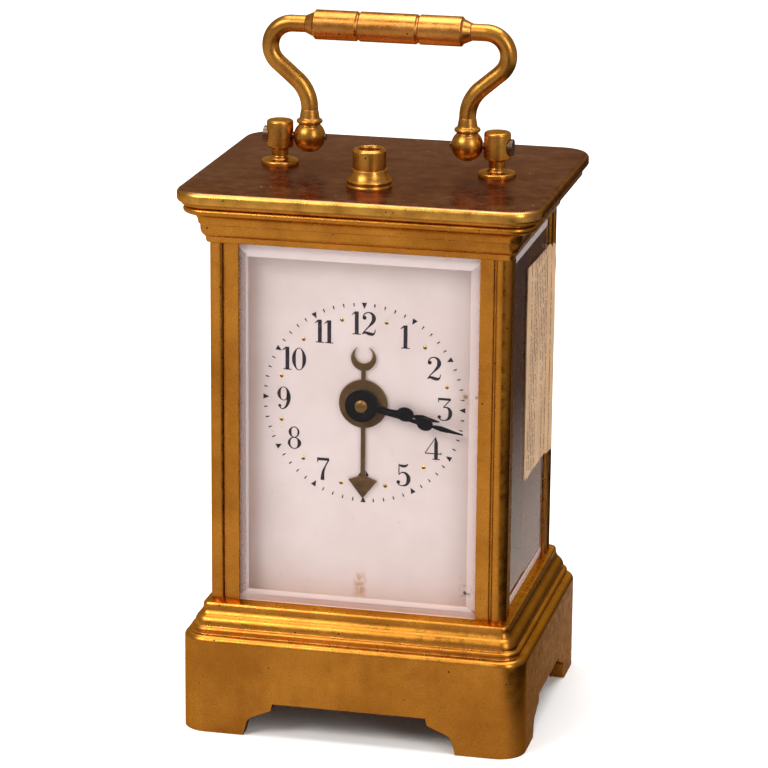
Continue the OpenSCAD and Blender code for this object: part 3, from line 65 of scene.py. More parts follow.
class Finish:
    """One procedural material: a Principled shader and the nodes that feed it."""

    def __init__(self, name, roughness=0.3, metallic=0.0, **sockets):
        self.material = bpy.data.materials.new(name)
        self.material.use_nodes = True
        self.tree = self.material.node_tree
        self.shader = self.tree.nodes["Principled BSDF"]
        self.coords = self.tree.nodes.new("ShaderNodeTexCoord").outputs["Object"]
        self.set(Roughness=roughness, Metallic=metallic, **sockets)

    def set(self, **sockets):
        for key, value in sockets.items():
            self.put(value, self.shader.inputs[key.replace("_", " ")])

    def put(self, value, socket):
        if isinstance(value, bpy.types.NodeSocket):
            self.tree.links.new(value, socket)
        elif isinstance(value, tuple) and len(value) == 3 and len(socket.default_value) == 4:
            socket.default_value = (*value, 1.0)
        else:
            socket.default_value = value

    def noise(self, size_mm, detail=3.0, rough=0.55, stretch=(1, 1, 1), distortion=0.0):
        """Noise whose features are about size_mm across, from 0 to 1."""
        place = self.tree.nodes.new("ShaderNodeMapping")
        place.inputs["Scale"].default_value = tuple(s / (size_mm * MM) for s in stretch)
        self.tree.links.new(self.coords, place.inputs["Vector"])
        node = self.tree.nodes.new("ShaderNodeTexNoise")
        node.inputs["Scale"].default_value = 1.0
        node.inputs["Detail"].default_value = detail
        node.inputs["Roughness"].default_value = rough
        node.inputs["Distortion"].default_value = distortion
        self.tree.links.new(place.outputs["Vector"], node.inputs["Vector"])
        return node.outputs["Fac"]

    def cells(self, size_mm):
        """Distance to the nearest random point, in cells of size_mm, and a random value for each cell."""
        node = self.tree.nodes.new("ShaderNodeTexVoronoi")
        node.inputs["Scale"].default_value = 1.0 / (size_mm * MM)
        self.tree.links.new(self.coords, node.inputs["Vector"])
        apart = self.tree.nodes.new("ShaderNodeSeparateColor")
        self.tree.links.new(node.outputs["Color"], apart.inputs["Color"])
        return node.outputs["Distance"], apart.outputs["Red"]

    def ramp(self, value, low, high, out_low=0.0, out_high=1.0):
        """Smooth step of value from low to high, onto out_low to out_high."""
        node = self.tree.nodes.new("ShaderNodeMapRange")
        node.interpolation_type = "SMOOTHSTEP"
        for key, number in (
            ("From Min", low),
            ("From Max", high),
            ("To Min", out_low),
            ("To Max", out_high),
        ):
            node.inputs[key].default_value = number
        self.put(value, node.inputs["Value"])
        return node.outputs["Result"]

    def math(self, how, a, b=0.0):
        node = self.tree.nodes.new("ShaderNodeMath")
        node.operation = how
        self.put(a, node.inputs[0])
        self.put(b, node.inputs[1])
        return node.outputs[0]

    def mix(self, amount, first, second):
        node = self.tree.nodes.new("ShaderNodeMix")
        node.data_type = "RGBA"
        self.put(amount, node.inputs["Factor"])
        self.put(first, node.inputs["A"])
        self.put(second, node.inputs["B"])
        return node.outputs["Result"]

    def axis(self, name, normal=False):
        """One coordinate of the place on the object, in metres, or of its surface direction."""
        source = self.coords
        if normal:
            source = self.tree.nodes.new("ShaderNodeTexCoord").outputs["Normal"]
        node = self.tree.nodes.new("ShaderNodeSeparateXYZ")
        self.tree.links.new(source, node.inputs[0])
        return node.outputs[name]

    def bump(self, height, depth_mm, normal=None):
        node = self.tree.nodes.new("ShaderNodeBump")
        node.inputs["Distance"].default_value = depth_mm * MM
        node.inputs["Strength"].default_value = 1.0
        self.put(height, node.inputs["Height"])
        if normal:
            self.tree.links.new(normal, node.inputs["Normal"])
        return node.outputs["Normal"]

    def rounded(self, radius_mm):
        """The surface direction with edges rounded over, and how much of an edge each place is."""
        node = self.tree.nodes.new("ShaderNodeBevel")
        node.samples = 4
        node.inputs["Radius"].default_value = radius_mm * MM
        flat = self.tree.nodes.new("ShaderNodeNewGeometry").outputs["Normal"]
        dot = self.tree.nodes.new("ShaderNodeVectorMath")
        dot.operation = "DOT_PRODUCT"
        self.tree.links.new(node.outputs["Normal"], dot.inputs[0])
        self.tree.links.new(flat, dot.inputs[1])
        return node.outputs["Normal"], self.ramp(dot.outputs["Value"], 0.995, 0.90)


def near(finish, axis, centre_mm, half_mm, soft_mm):
    """1 where one coordinate is within half_mm of centre_mm, fading out over soft_mm."""
    away = finish.math("ABSOLUTE", finish.math("SUBTRACT", finish.axis(axis), centre_mm * MM))
    return finish.ramp(away, half_mm * MM, (half_mm + soft_mm) * MM, 1.0, 0.0)


def aged_brass(name, clean, tarnish, deep, shade_right=0.0, edge_mm=0.35, grain_mm=0.9):
    """Old lacquered brass: mottled tarnish, fine grain, dark pits, light worn edges that are partly a
    painted highlight, and painted shade on faces turned to the right.
    """
    f = Finish(name, metallic=1.0)
    edge_normal, edge = f.rounded(edge_mm)
    cloud = f.ramp(f.noise(22, detail=6, rough=0.62), 0.30, 0.74)
    blotch = f.ramp(f.noise(5.5, detail=7, rough=0.72, distortion=0.4), 0.52, 0.85)
    streak = f.ramp(f.noise(5, detail=3, stretch=(1, 1, 0.18)), 0.45, 0.75)
    grain = f.noise(grain_mm * 0.35, detail=2, rough=0.7)
    colour = f.mix(cloud, clean, tarnish)
    colour = f.mix(f.math("MULTIPLY", blotch, 0.30), colour, deep)
    colour = f.mix(f.math("MULTIPLY", streak, 0.30), colour, tarnish)
    colour = f.mix(f.ramp(grain, 0.25, 0.75, 0.35, 0.0), colour, deep)
    # Painted shade: faces turned towards +X are mixed towards the deep colour, darker the more they face
    # right.
    if shade_right:
        side = f.ramp(f.axis("X", normal=True), 0.35, 0.95, 0.0, shade_right)
        colour = f.mix(side, colour, deep)
    pit_gap, pit_pick = f.cells(2.6)
    pits = f.math("MULTIPLY", f.ramp(pit_gap, 0.05, 0.11, 1.0, 0.0), f.ramp(pit_pick, 0.80, 0.82))
    fine_gap, fine_pick = f.cells(0.9)
    fine = f.math("MULTIPLY", f.ramp(fine_gap, 0.10, 0.20, 1.0, 0.0), f.ramp(fine_pick, 0.72, 0.74))
    colour = f.mix(f.math("MULTIPLY", fine, 0.45), colour, tuple(c * 0.35 for c in deep))
    colour = f.mix(pits, colour, tuple(c * 0.18 for c in deep))
    # Worn edges, partly painted highlight: the rounded edges are mixed towards a colour lighter than the
    # clean brass.
    worn = f.math("MULTIPLY", edge, f.ramp(f.noise(3.0, detail=3), 0.38, 0.60, 0.15, 0.85))
    worn_edge_highlight = tuple(min(1.0, c * 1.35 + 0.05) for c in clean)
    colour = f.mix(worn, colour, worn_edge_highlight)
    rough = f.ramp(f.noise(2.2, detail=4), 0.3, 0.7, 0.24, 0.38)
    scratches = f.ramp(f.noise(1.1, detail=2, stretch=(0.12, 0.12, 1.6)), 0.60, 0.66)
    rough = f.math("ADD", rough, f.math("MULTIPLY", scratches, 0.05))
    height = f.math("SUBTRACT", f.math("MULTIPLY", grain, 0.25), pits)
    f.set(Base_Color=colour, Roughness=rough, Normal=f.bump(height, 0.012, edge_normal))
    f.set(Coat_Weight=0.05, Coat_Roughness=0.20, Specular_Tint=(0.85, 0.58, 0.34, 1.0))
    return f.material


def movement_metal(name, colour, dark, roughness):
    """Clean machined metal inside the case, with fine brush marks and a little dullness."""
    f = Finish(name, metallic=1.0)
    edge_normal, edge = f.rounded(0.08)
    brush = f.noise(0.5, detail=2, stretch=(0.05, 1, 1))
    dull = f.ramp(f.noise(5.0, detail=4), 0.35, 0.75)
    base = f.mix(f.math("MULTIPLY", dull, 0.55), colour, dark)
    base = f.mix(f.ramp(brush, 0.2, 0.8, 0.22, 0.0), base, dark)
    base = f.mix(f.math("MULTIPLY", edge, 0.4), base, tuple(min(1, c * 1.3) for c in colour))
    rough = f.ramp(brush, 0.25, 0.75, roughness * 0.8, roughness * 1.25)
    f.set(Base_Color=base, Roughness=rough, Normal=f.bump(brush, 0.004, edge_normal))
    return f.material


def dark_top():
    """The top plate: brown patina, gold where the rim is rubbed, dust, small nicks and painted shade on its
    right-hand side.
    """
    f = Finish("dark_brass_look", metallic=1.0)
    edge_normal, edge = f.rounded(0.5)
    brown, umber, gold = (0.290, 0.138, 0.075), (0.165, 0.072, 0.040), (0.70, 0.36, 0.065)
    mottle = f.ramp(f.noise(9, detail=6, rough=0.62), 0.30, 0.72)
    top = f.mix(mottle, umber, brown)
    veil = f.ramp(f.noise(30, detail=2), 0.35, 0.65, 0.0, 0.35)
    top = f.mix(veil, top, (0.29, 0.155, 0.080))
    rub = f.ramp(f.noise(6, detail=4, stretch=(1, 2, 1)), 0.50, 0.70, 0.0, 0.35)
    top = f.mix(rub, top, (0.27, 0.130, 0.050))
    upward = f.ramp(f.axis("Z", normal=True), 0.55, 0.95)
    side_mottle = f.ramp(f.noise(5, detail=5, rough=0.6), 0.36, 0.72)
    side = f.mix(side_mottle, gold, (0.40, 0.185, 0.030))
    # Painted shade: the sides turned towards +X are mixed towards umber.
    right = f.ramp(f.axis("X", normal=True), 0.4, 0.95, 0.0, 0.75)
    side = f.mix(right, side, umber)
    colour = f.mix(upward, side, top)
    gap, pick = f.cells(1.6)
    nicks = f.math("MULTIPLY", f.ramp(gap, 0.08, 0.17, 1.0, 0.0), f.ramp(pick, 0.86, 0.88))
    colour = f.mix(f.math("MULTIPLY", nicks, 0.8), colour, (0.035, 0.014, 0.006))
    dust_gap, dust_pick = f.cells(2.3)
    dust = f.math("MULTIPLY", f.ramp(dust_gap, 0.035, 0.075, 1.0, 0.0), f.ramp(dust_pick, 0.80, 0.82))
    dust = f.math("MULTIPLY", dust, upward)
    colour = f.mix(dust, colour, (0.72, 0.62, 0.52))
    worn = f.math("MULTIPLY", edge, f.ramp(f.noise(3.5), 0.40, 0.60, 0.2, 0.8))
    colour = f.mix(f.math("MULTIPLY", worn, 0.7), colour, gold)
    rough = f.ramp(f.noise(3, detail=4), 0.3, 0.7, 0.23, 0.36)
    rough = f.math("ADD", rough, f.math("MULTIPLY", dust, 0.5))
    height = f.math("SUBTRACT", f.noise(0.5, detail=2), f.math("MULTIPLY", nicks, 3.0))
    f.set(Base_Color=colour, Roughness=rough, Normal=f.bump(height, 0.006, edge_normal))
    f.set(Coat_Weight=0.06, Coat_Roughness=0.22, Specular_Tint=(0.55, 0.36, 0.27, 1.0))
    return f.material


def clear_glass():
    """Plate glass with a trace of dust; lamps shine through it, and a pale matte layer on the bevel facets
    is a painted sheen.
    """
    f = Finish("clear_glass_look", roughness=0.0, IOR=1.30, Transmission_Weight=1.0)
    smear = f.ramp(f.noise(7, detail=4, rough=0.6), 0.55, 0.80, 0.0, 0.03)
    f.set(Base_Color=(0.985, 0.975, 0.97), Roughness=smear, Specular_IOR_Level=0.12)
    path = f.tree.nodes.new("ShaderNodeLightPath")
    clear = f.tree.nodes.new("ShaderNodeBsdfTransparent")
    clear.inputs["Color"].default_value = (0.93, 0.92, 0.91, 1.0)
    blend = f.tree.nodes.new("ShaderNodeMixShader")
    through = f.math("MAXIMUM", path.outputs["Is Shadow Ray"], path.outputs["Is Diffuse Ray"])
    f.put(through, blend.inputs["Fac"])
    # Painted sheen: a pale pinkish matte layer on the bevel facets, found by their tilt, stands in for the
    # light band the bevels reflect.
    bevel_painted_sheen = f.tree.nodes.new("ShaderNodeBsdfDiffuse")
    bevel_painted_sheen.inputs["Color"].default_value = (0.80, 0.70, 0.71, 1.0)
    bevel = f.tree.nodes.new("ShaderNodeMixShader")
    tilt_z = f.ramp(f.math("ABSOLUTE", f.axis("Z", normal=True)), 0.05, 0.12, 0.0, 0.42)
    facing_x = f.math("ABSOLUTE", f.axis("X", normal=True))
    facing_y = f.math("ABSOLUTE", f.axis("Y", normal=True))
    tilt_x = f.ramp(f.math("MULTIPLY", facing_x, facing_y), 0.05, 0.12, 0.0, 0.22)
    f.put(f.math("MAXIMUM", tilt_z, tilt_x), bevel.inputs["Fac"])
    f.tree.links.new(f.shader.outputs["BSDF"], bevel.inputs[1])
    f.tree.links.new(bevel_painted_sheen.outputs["BSDF"], bevel.inputs[2])
    f.tree.links.new(bevel.outputs["Shader"], blend.inputs[1])
    f.tree.links.new(clear.outputs["BSDF"], blend.inputs[2])
    f.tree.links.new(blend.outputs["Shader"], f.tree.nodes["Material Output"].inputs["Surface"])
    return f.material


def enamel(dial_x, dial_z, low, high):
    """The white dial: pinkish glaze, painted shade at its rims, a stain at the foot, specks and chips."""
    f = Finish("enamel_look", roughness=0.22)
    cloud = f.ramp(f.noise(14, detail=3), 0.3, 0.7)
    colour = f.mix(cloud, (0.640, 0.560, 0.565), (0.590, 0.505, 0.505))
    # Painted shade: the dial is darkened towards its left, right and top edges.
    rim = f.ramp(f.axis("X"), (high.x / MM - 5.5) * MM, (high.x / MM) * MM)
    rim_left = f.ramp(f.axis("X"), (low.x / MM + 5.0) * MM, (low.x / MM) * MM)
    top = f.ramp(f.axis("Z"), (high.z / MM - 9.0) * MM, (high.z / MM - 1.0) * MM)
    shade = f.math("MAXIMUM", f.math("MAXIMUM", rim, rim_left), top)
    colour = f.mix(f.math("MULTIPLY", shade, 0.55), colour, (0.42, 0.29, 0.25))
    stain_x = near(f, "X", dial_x / MM - 0.6, 0.4, 1.6)
    stain = f.math("MULTIPLY", stain_x, near(f, "Z", low.z / MM + 4.0, 1.2, 3.2))
    stain = f.math("MULTIPLY", stain, f.ramp(f.noise(1.2, detail=4), 0.30, 0.62))
    colour = f.mix(f.math("MULTIPLY", stain, 0.8), colour, (0.42, 0.24, 0.10))
    for offset, radius in ((23.4, 0.55), (25.7, 0.42)):
        spot_z = near(f, "Z", dial_z / MM + 3.2, radius * 0.3, radius)
        spot = f.math("MULTIPLY", near(f, "X", offset, radius * 0.4, radius), spot_z)
        colour = f.mix(f.math("MULTIPLY", spot, 0.85), colour, (0.16, 0.08, 0.035))
    halo = f.math("MULTIPLY", near(f, "X", 24.6, 1.0, 3.2), near(f, "Z", dial_z / MM + 2.2, 1.0, 3.6))
    halo = f.math("MULTIPLY", halo, f.ramp(f.noise(1.6, detail=4), 0.40, 0.72))
    colour = f.mix(f.math("MULTIPLY", halo, 0.5), colour, (0.47, 0.33, 0.20))
    lower = f.ramp(f.axis("Z"), (dial_z / MM + 10) * MM, (low.z / MM + 12) * MM, 0.70, 1.0)
    gap, pick = f.cells(2.1)
    speck_pick = f.ramp(f.math("MULTIPLY", pick, lower), 0.70, 0.72)
    specks = f.math("MULTIPLY", f.ramp(gap, 0.035, 0.075, 1.0, 0.0), speck_pick)
    colour = f.mix(f.math("MULTIPLY", specks, 0.75), colour, (0.10, 0.06, 0.05))
    mote_gap, mote_pick = f.cells(1.1)
    mote_spot = f.ramp(mote_gap, 0.05, 0.12, 1.0, 0.0)
    motes = f.math("MULTIPLY", mote_spot, f.ramp(mote_pick, 0.84, 0.86))
    colour = f.mix(f.math("MULTIPLY", motes, 0.28), colour, (0.33, 0.20, 0.17))
    chip_x = near(f, "X", high.x / MM - 3.2, 0.6, 1.2)
    chip = f.math("MULTIPLY", chip_x, near(f, "Z", low.z / MM + 4.6, 0.5, 1.3))
    chip = f.math("MULTIPLY", chip, f.ramp(f.noise(0.7, detail=4, rough=0.7), 0.50, 0.56))
    colour = f.mix(chip, colour, (0.05, 0.035, 0.035))
    f.set(Base_Color=colour, Normal=f.bump(f.noise(3.0, detail=2), 0.01))
    f.set(Specular_IOR_Level=0.3)
    return f.material


def label_paper():
    """Old beige paper, foxed at its torn edge, with illegible ruled marks down its length."""
    f = Finish("label_paper_look", roughness=0.85)
    tone = f.mix(f.ramp(f.noise(9, detail=5), 0.3, 0.7), (0.50, 0.32, 0.185), (0.40, 0.245, 0.125))
    tone = f.mix(f.ramp(f.noise(0.35, detail=2), 0.3, 0.7, 0.18, 0.0), tone, (0.40, 0.25, 0.13))
    fox = f.ramp(f.noise(3.5, detail=5, rough=0.7), 0.60, 0.72, 0.0, 0.5)
    tone = f.mix(fox, tone, (0.33, 0.17, 0.07))
    across = f.math("MULTIPLY", f.axis("Y"), 1.0 / (2.1 * MM))
    row = f.math("FRACT", across)
    line = f.ramp(f.math("ABSOLUTE", f.math("SUBTRACT", row, 0.5)), 0.16, 0.24, 1.0, 0.0)
    broken = f.ramp(f.noise(0.55, detail=1, stretch=(1, 0.35, 1)), 0.42, 0.48)
    row_pick = f.ramp(f.noise(4.4, detail=0, stretch=(0, 1, 0.05)), 0.40, 0.44)
    ink = f.math("MULTIPLY", f.math("MULTIPLY", line, broken), row_pick)
    tone = f.mix(f.math("MULTIPLY", ink, 0.88), tone, (0.045, 0.028, 0.02))
    f.set(Base_Color=tone, Normal=f.bump(f.noise(0.3, detail=3), 0.02))
    return f.material


def printed_ink():
    """Black fired-on dial printing, a little worn."""
    f = Finish("dial_ink", roughness=0.5, Specular_IOR_Level=0.2)
    wear = f.ramp(f.noise(0.7, detail=4), 0.52, 0.74, 0.0, 0.35)
    f.set(Base_Color=f.mix(wear, (0.016, 0.012, 0.022), (0.12, 0.09, 0.10)))
    return f.material


def white_floor():
    """White paper. In gloss and glass it shows darker, as a dim room would, and dimmest to the right."""
    f = Finish("floor_paper", roughness=0.9)
    f.set(Base_Color=f.mix(f.noise(60, detail=2), (0.90, 0.90, 0.90), (0.93, 0.93, 0.93)))
    links = f.tree.links
    path = f.tree.nodes.new("ShaderNodeLightPath")
    strip = f.math("MULTIPLY", f.ramp(f.axis("X"), 0.045, 0.090), f.ramp(f.axis("X"), 0.30, 0.45, 1.0, 0.0))
    dim = f.tree.nodes.new("ShaderNodeBsdfDiffuse")
    f.put(f.mix(strip, (0.40, 0.37, 0.34), (0.025, 0.020, 0.017)), dim.inputs["Color"])
    dark = f.tree.nodes.new("ShaderNodeBsdfDiffuse")
    dark.inputs["Color"].default_value = (0.06, 0.045, 0.04, 1.0)
    in_gloss = f.tree.nodes.new("ShaderNodeMixShader")
    in_glass = f.tree.nodes.new("ShaderNodeMixShader")
    links.new(path.outputs["Is Glossy Ray"], in_gloss.inputs["Fac"])
    links.new(f.shader.outputs["BSDF"], in_gloss.inputs[1])
    links.new(dim.outputs["BSDF"], in_gloss.inputs[2])
    links.new(path.outputs["Is Transmission Ray"], in_glass.inputs["Fac"])
    links.new(in_gloss.outputs["Shader"], in_glass.inputs[1])
    links.new(dark.outputs["BSDF"], in_glass.inputs[2])
    links.new(in_glass.outputs["Shader"], f.tree.nodes["Material Output"].inputs["Surface"])
    return f.material


# ---------- finishes on the CAD nodes ----------

GOLD, OCHRE, UMBER = (0.68, 0.290, 0.038), (0.44, 0.165, 0.018), (0.150, 0.050, 0.009)

dial_low, dial_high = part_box("dial_plate")
dial_at = joint_at["minute_turn"]

case_brass = aged_brass("case_brass_look", GOLD, OCHRE, UMBER, shade_right=0.72)
FITTING_EDGE_MM = 0.25
fitting_brass = aged_brass(
    "fitting_brass_look", (0.60, 0.285, 0.050), (0.36, 0.150, 0.026), UMBER, edge_mm=FITTING_EDGE_MM
)
coppery_brass = aged_brass(
    "grip_brass_look",
    (0.60, 0.262, 0.058),
    (0.36, 0.130, 0.022),
    (0.13, 0.042, 0.012),
    edge_mm=FITTING_EDGE_MM,
)
movement_brass = movement_metal("movement_brass_look", (0.78, 0.50, 0.155), (0.46, 0.26, 0.06), 0.30)
dull_gilt = movement_metal("gilt_look", (0.34, 0.205, 0.088), (0.16, 0.090, 0.040), 0.42)
bell_gilt = movement_metal("bell_look", (0.80, 0.55, 0.22), (0.50, 0.30, 0.09), 0.20)
dark_screw = movement_metal("dark_screw_look", (0.13, 0.085, 0.055), (0.05, 0.03, 0.02), 0.30)
steel = movement_metal("steel_look", (0.56, 0.55, 0.53), (0.25, 0.235, 0.22), 0.24)
blued_steel = movement_metal("blued_steel_look", (0.020, 0.022, 0.050), (0.008, 0.008, 0.018), 0.26)
hand_blue = movement_metal("hand_blue_look", (0.014, 0.014, 0.028), (0.006, 0.006, 0.010), 0.34)
glass = clear_glass()
by_slot = {
    "case_brass": case_brass,
    "dark_brass": dark_top(),
    "grip_brass": coppery_brass,
    "movement_brass": movement_brass,
    "gilt": dull_gilt,
    "steel": steel,
    "blued_steel": blued_steel,
    "clear_glass": glass,
    "enamel": enamel(dial_at.x, dial_at.z, dial_low, dial_high),
    "label_paper": label_paper(),
}
by_node = {
    "bell": bell_gilt,
    "pivot_screws": dark_screw,
    "handle_arm_left": fitting_brass,
    "handle_arm_right": fitting_brass,
    "handle_posts": fitting_brass,
    "button_sleeve": fitting_brass,
    "hour_hand": hand_blue,
    "minute_hand": hand_blue,
}


def dress_nodes():
    """Gives every CAD node its finish, by its own name or by its slot in the record."""
    for name, obj in NODES.items():
        for at in obj.material_slots:
            slot_name = at.material.name.split(".")[0] if at.material else "case_brass"
            at.material = by_node.get(name, by_slot.get(slot_name, case_brass))


dress_nodes()


WELD = 0.000001
SHARP_DEGREES = 24


def smooth_group():
    """Geometry nodes that shade the tessellated CAD faces as the smooth curves they stand for."""
    group = bpy.data.node_groups.new("smooth_by_angle", "GeometryNodeTree")
    group.interface.new_socket("Geometry", in_out="INPUT", socket_type="NodeSocketGeometry")
    group.interface.new_socket("Geometry", in_out="OUTPUT", socket_type="NodeSocketGeometry")
    new, link = group.nodes.new, group.links.new
    source, result = new("NodeGroupInput"), new("NodeGroupOutput")
    merge = new("GeometryNodeMergeByDistance")
    merge.inputs["Distance"].default_value = WELD
    normals_off = new("GeometryNodeRemoveAttribute")
    normals_off.inputs["Name"].default_value = "custom_normal"
    faces, edges = new("GeometryNodeSetShadeSmooth"), new("GeometryNodeSetShadeSmooth")
    faces.domain, edges.domain = "FACE", "EDGE"
    edges.inputs["Shade Smooth"].default_value = False
    angle = new("GeometryNodeInputMeshEdgeAngle")
    sharp = new("FunctionNodeCompare")
    sharp.data_type, sharp.operation = "FLOAT", "GREATER_THAN"
    sharp.inputs["B"].default_value = math.radians(SHARP_DEGREES)
    link(angle.outputs["Unsigned Angle"], sharp.inputs["A"])
    link(sharp.outputs["Result"], edges.inputs["Selection"])
    chain = (merge, normals_off, faces, edges)
    link(source.outputs["Geometry"], merge.inputs["Geometry"])
    for first, second in zip(chain, chain[1:]):
        link(first.outputs["Geometry"], second.inputs["Geometry"])
    link(edges.outputs["Geometry"], result.inputs["Geometry"])
    return group


SMOOTHED = (
    "base",
    "cornice",
    "top_plate",
    "corner_posts",
    "handle_posts",
    "handle_arm_left",
    "handle_arm_right",
    "handle_grip",
    "button_sleeve",
    "button_plunger",
    "door_knob",
    "bell",
    "hour_hand",
    "minute_hand",
    "alarm_hand",
)


def smooth_nodes():
    group = smooth_group()
    for name in SMOOTHED:
        NODES[name].modifiers.new("smooth", "NODES").node_group = group


smooth_nodes()

# ---------- pieces ----------


def add_piece(name, mesh, material, body):
    obj = bpy.data.objects.new(name, mesh)
    bpy.context.scene.collection.objects.link(obj)
    mesh.materials.append(material)
    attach(obj, body)
    return obj


def mesh_of(name, verts, faces):
    mesh = bpy.data.meshes.new(name)
    mesh.from_pydata([tuple(v) for v in verts], [], faces)
    mesh.validate()
    mesh.update()
    return mesh


def slab(outlines, y_face, depth):
    """Flat outlines in the dial's plane, each raised from y_face by depth towards the front."""
    verts, faces = [], []
    for outline in outlines:
        start, n = len(verts), len(outline)
        verts += [(x, y_face, z) for x, z in outline] + [(x, y_face - depth, z) for x, z in outline]
        faces.append(tuple(start + n + i for i in range(n)))
        faces.append(tuple(start + i for i in reversed(range(n))))
        for i in range(n):
            k = (i + 1) % n
            faces.append((start + i, start + k, start + n + k, start + n + i))
    return verts, faces


INK_DEPTH = 0.03 * MM
INK_BACK = 0.01 * MM


def smooth_path(points, steps=7):
    """Catmull-Rom curve through (x, y, width) points."""
    ends = [points[0], *points, points[-1]]
    out = []
    for i in range(1, len(ends) - 2):
        p0, p1, p2, p3 = ends[i - 1 : i + 3]
        for s in range(steps):
            t = s / steps
            out.append(tuple(
                0.5 * (
                    2 * b + (c - a) * t
                    + (2 * a - 5 * b + 4 * c - d) * t * t + (3 * b - a - 3 * c + d) * t**3
                )
                for a, b, c, d in zip(p0, p1, p2, p3)
            ))
    out.append(tuple(points[-1]))
    return out


def stroke(points, curved=True):
    """One pen stroke as quads across its width."""
    path = smooth_path(points) if curved and len(points) > 2 else points
    sides = []
    for i, (x, y, w) in enumerate(path):
        before, after = path[max(i - 1, 0)], path[min(i + 1, len(path) - 1)]
        along = Vector((after[0] - before[0], after[1] - before[1])).normalized()
        across = Vector((-along.y, along.x)) * (w / 2)
        sides.append(((x + across.x, y + across.y), (x - across.x, y - across.y)))
    left, right = [a for a, _ in sides], [b for _, b in sides]
    return left + right[::-1]


def ring(cx, cy, rx, ry, thin, left, right, steps=40):
    """A closed oval whose sides are thicker than its top and bottom, as quads."""
    quads, edge = [], []
    for i in range(steps):
        a = 2 * math.pi * i / steps
        side = right if math.cos(a) > 0 else left
        w = thin + (side - thin) * abs(math.cos(a)) ** 1.6
        out = (cx + (rx + w / 2) * math.cos(a), cy + (ry + thin / 2) * math.sin(a))
        inner = (cx + (rx - w / 2) * math.cos(a), cy + (ry - thin / 2) * math.sin(a))
        edge.append((out, inner))
    for i in range(steps):
        (a, b), (c, d) = edge[i], edge[(i + 1) % steps]
        quads.append([a, c, d, b])
    return quads


def ball(cx, cy, r, steps=16):
    angles = [2 * math.pi * i / steps for i in range(steps)]
    return [(cx + r * math.cos(a), cy + r * math.sin(a)) for a in angles]


def turned(outlines, cx, cy):
    """The outlines turned half a turn about a point."""
    return [[(2 * cx - x, 2 * cy - y) for x, y in o] for o in outlines]


def six():
    return [
        *ring(0.32, 0.31, 0.20, 0.285, 0.035, 0.14, 0.15),
        stroke([
            (0.50, 0.84, 0.05), (0.44, 0.95, 0.045), (0.34, 0.97, 0.05), (0.20, 0.85, 0.10),
            (0.11, 0.62, 0.15), (0.095, 0.42, 0.16), (0.12, 0.28, 0.15),
        ]),
        ball(0.485, 0.84, 0.065),
    ]


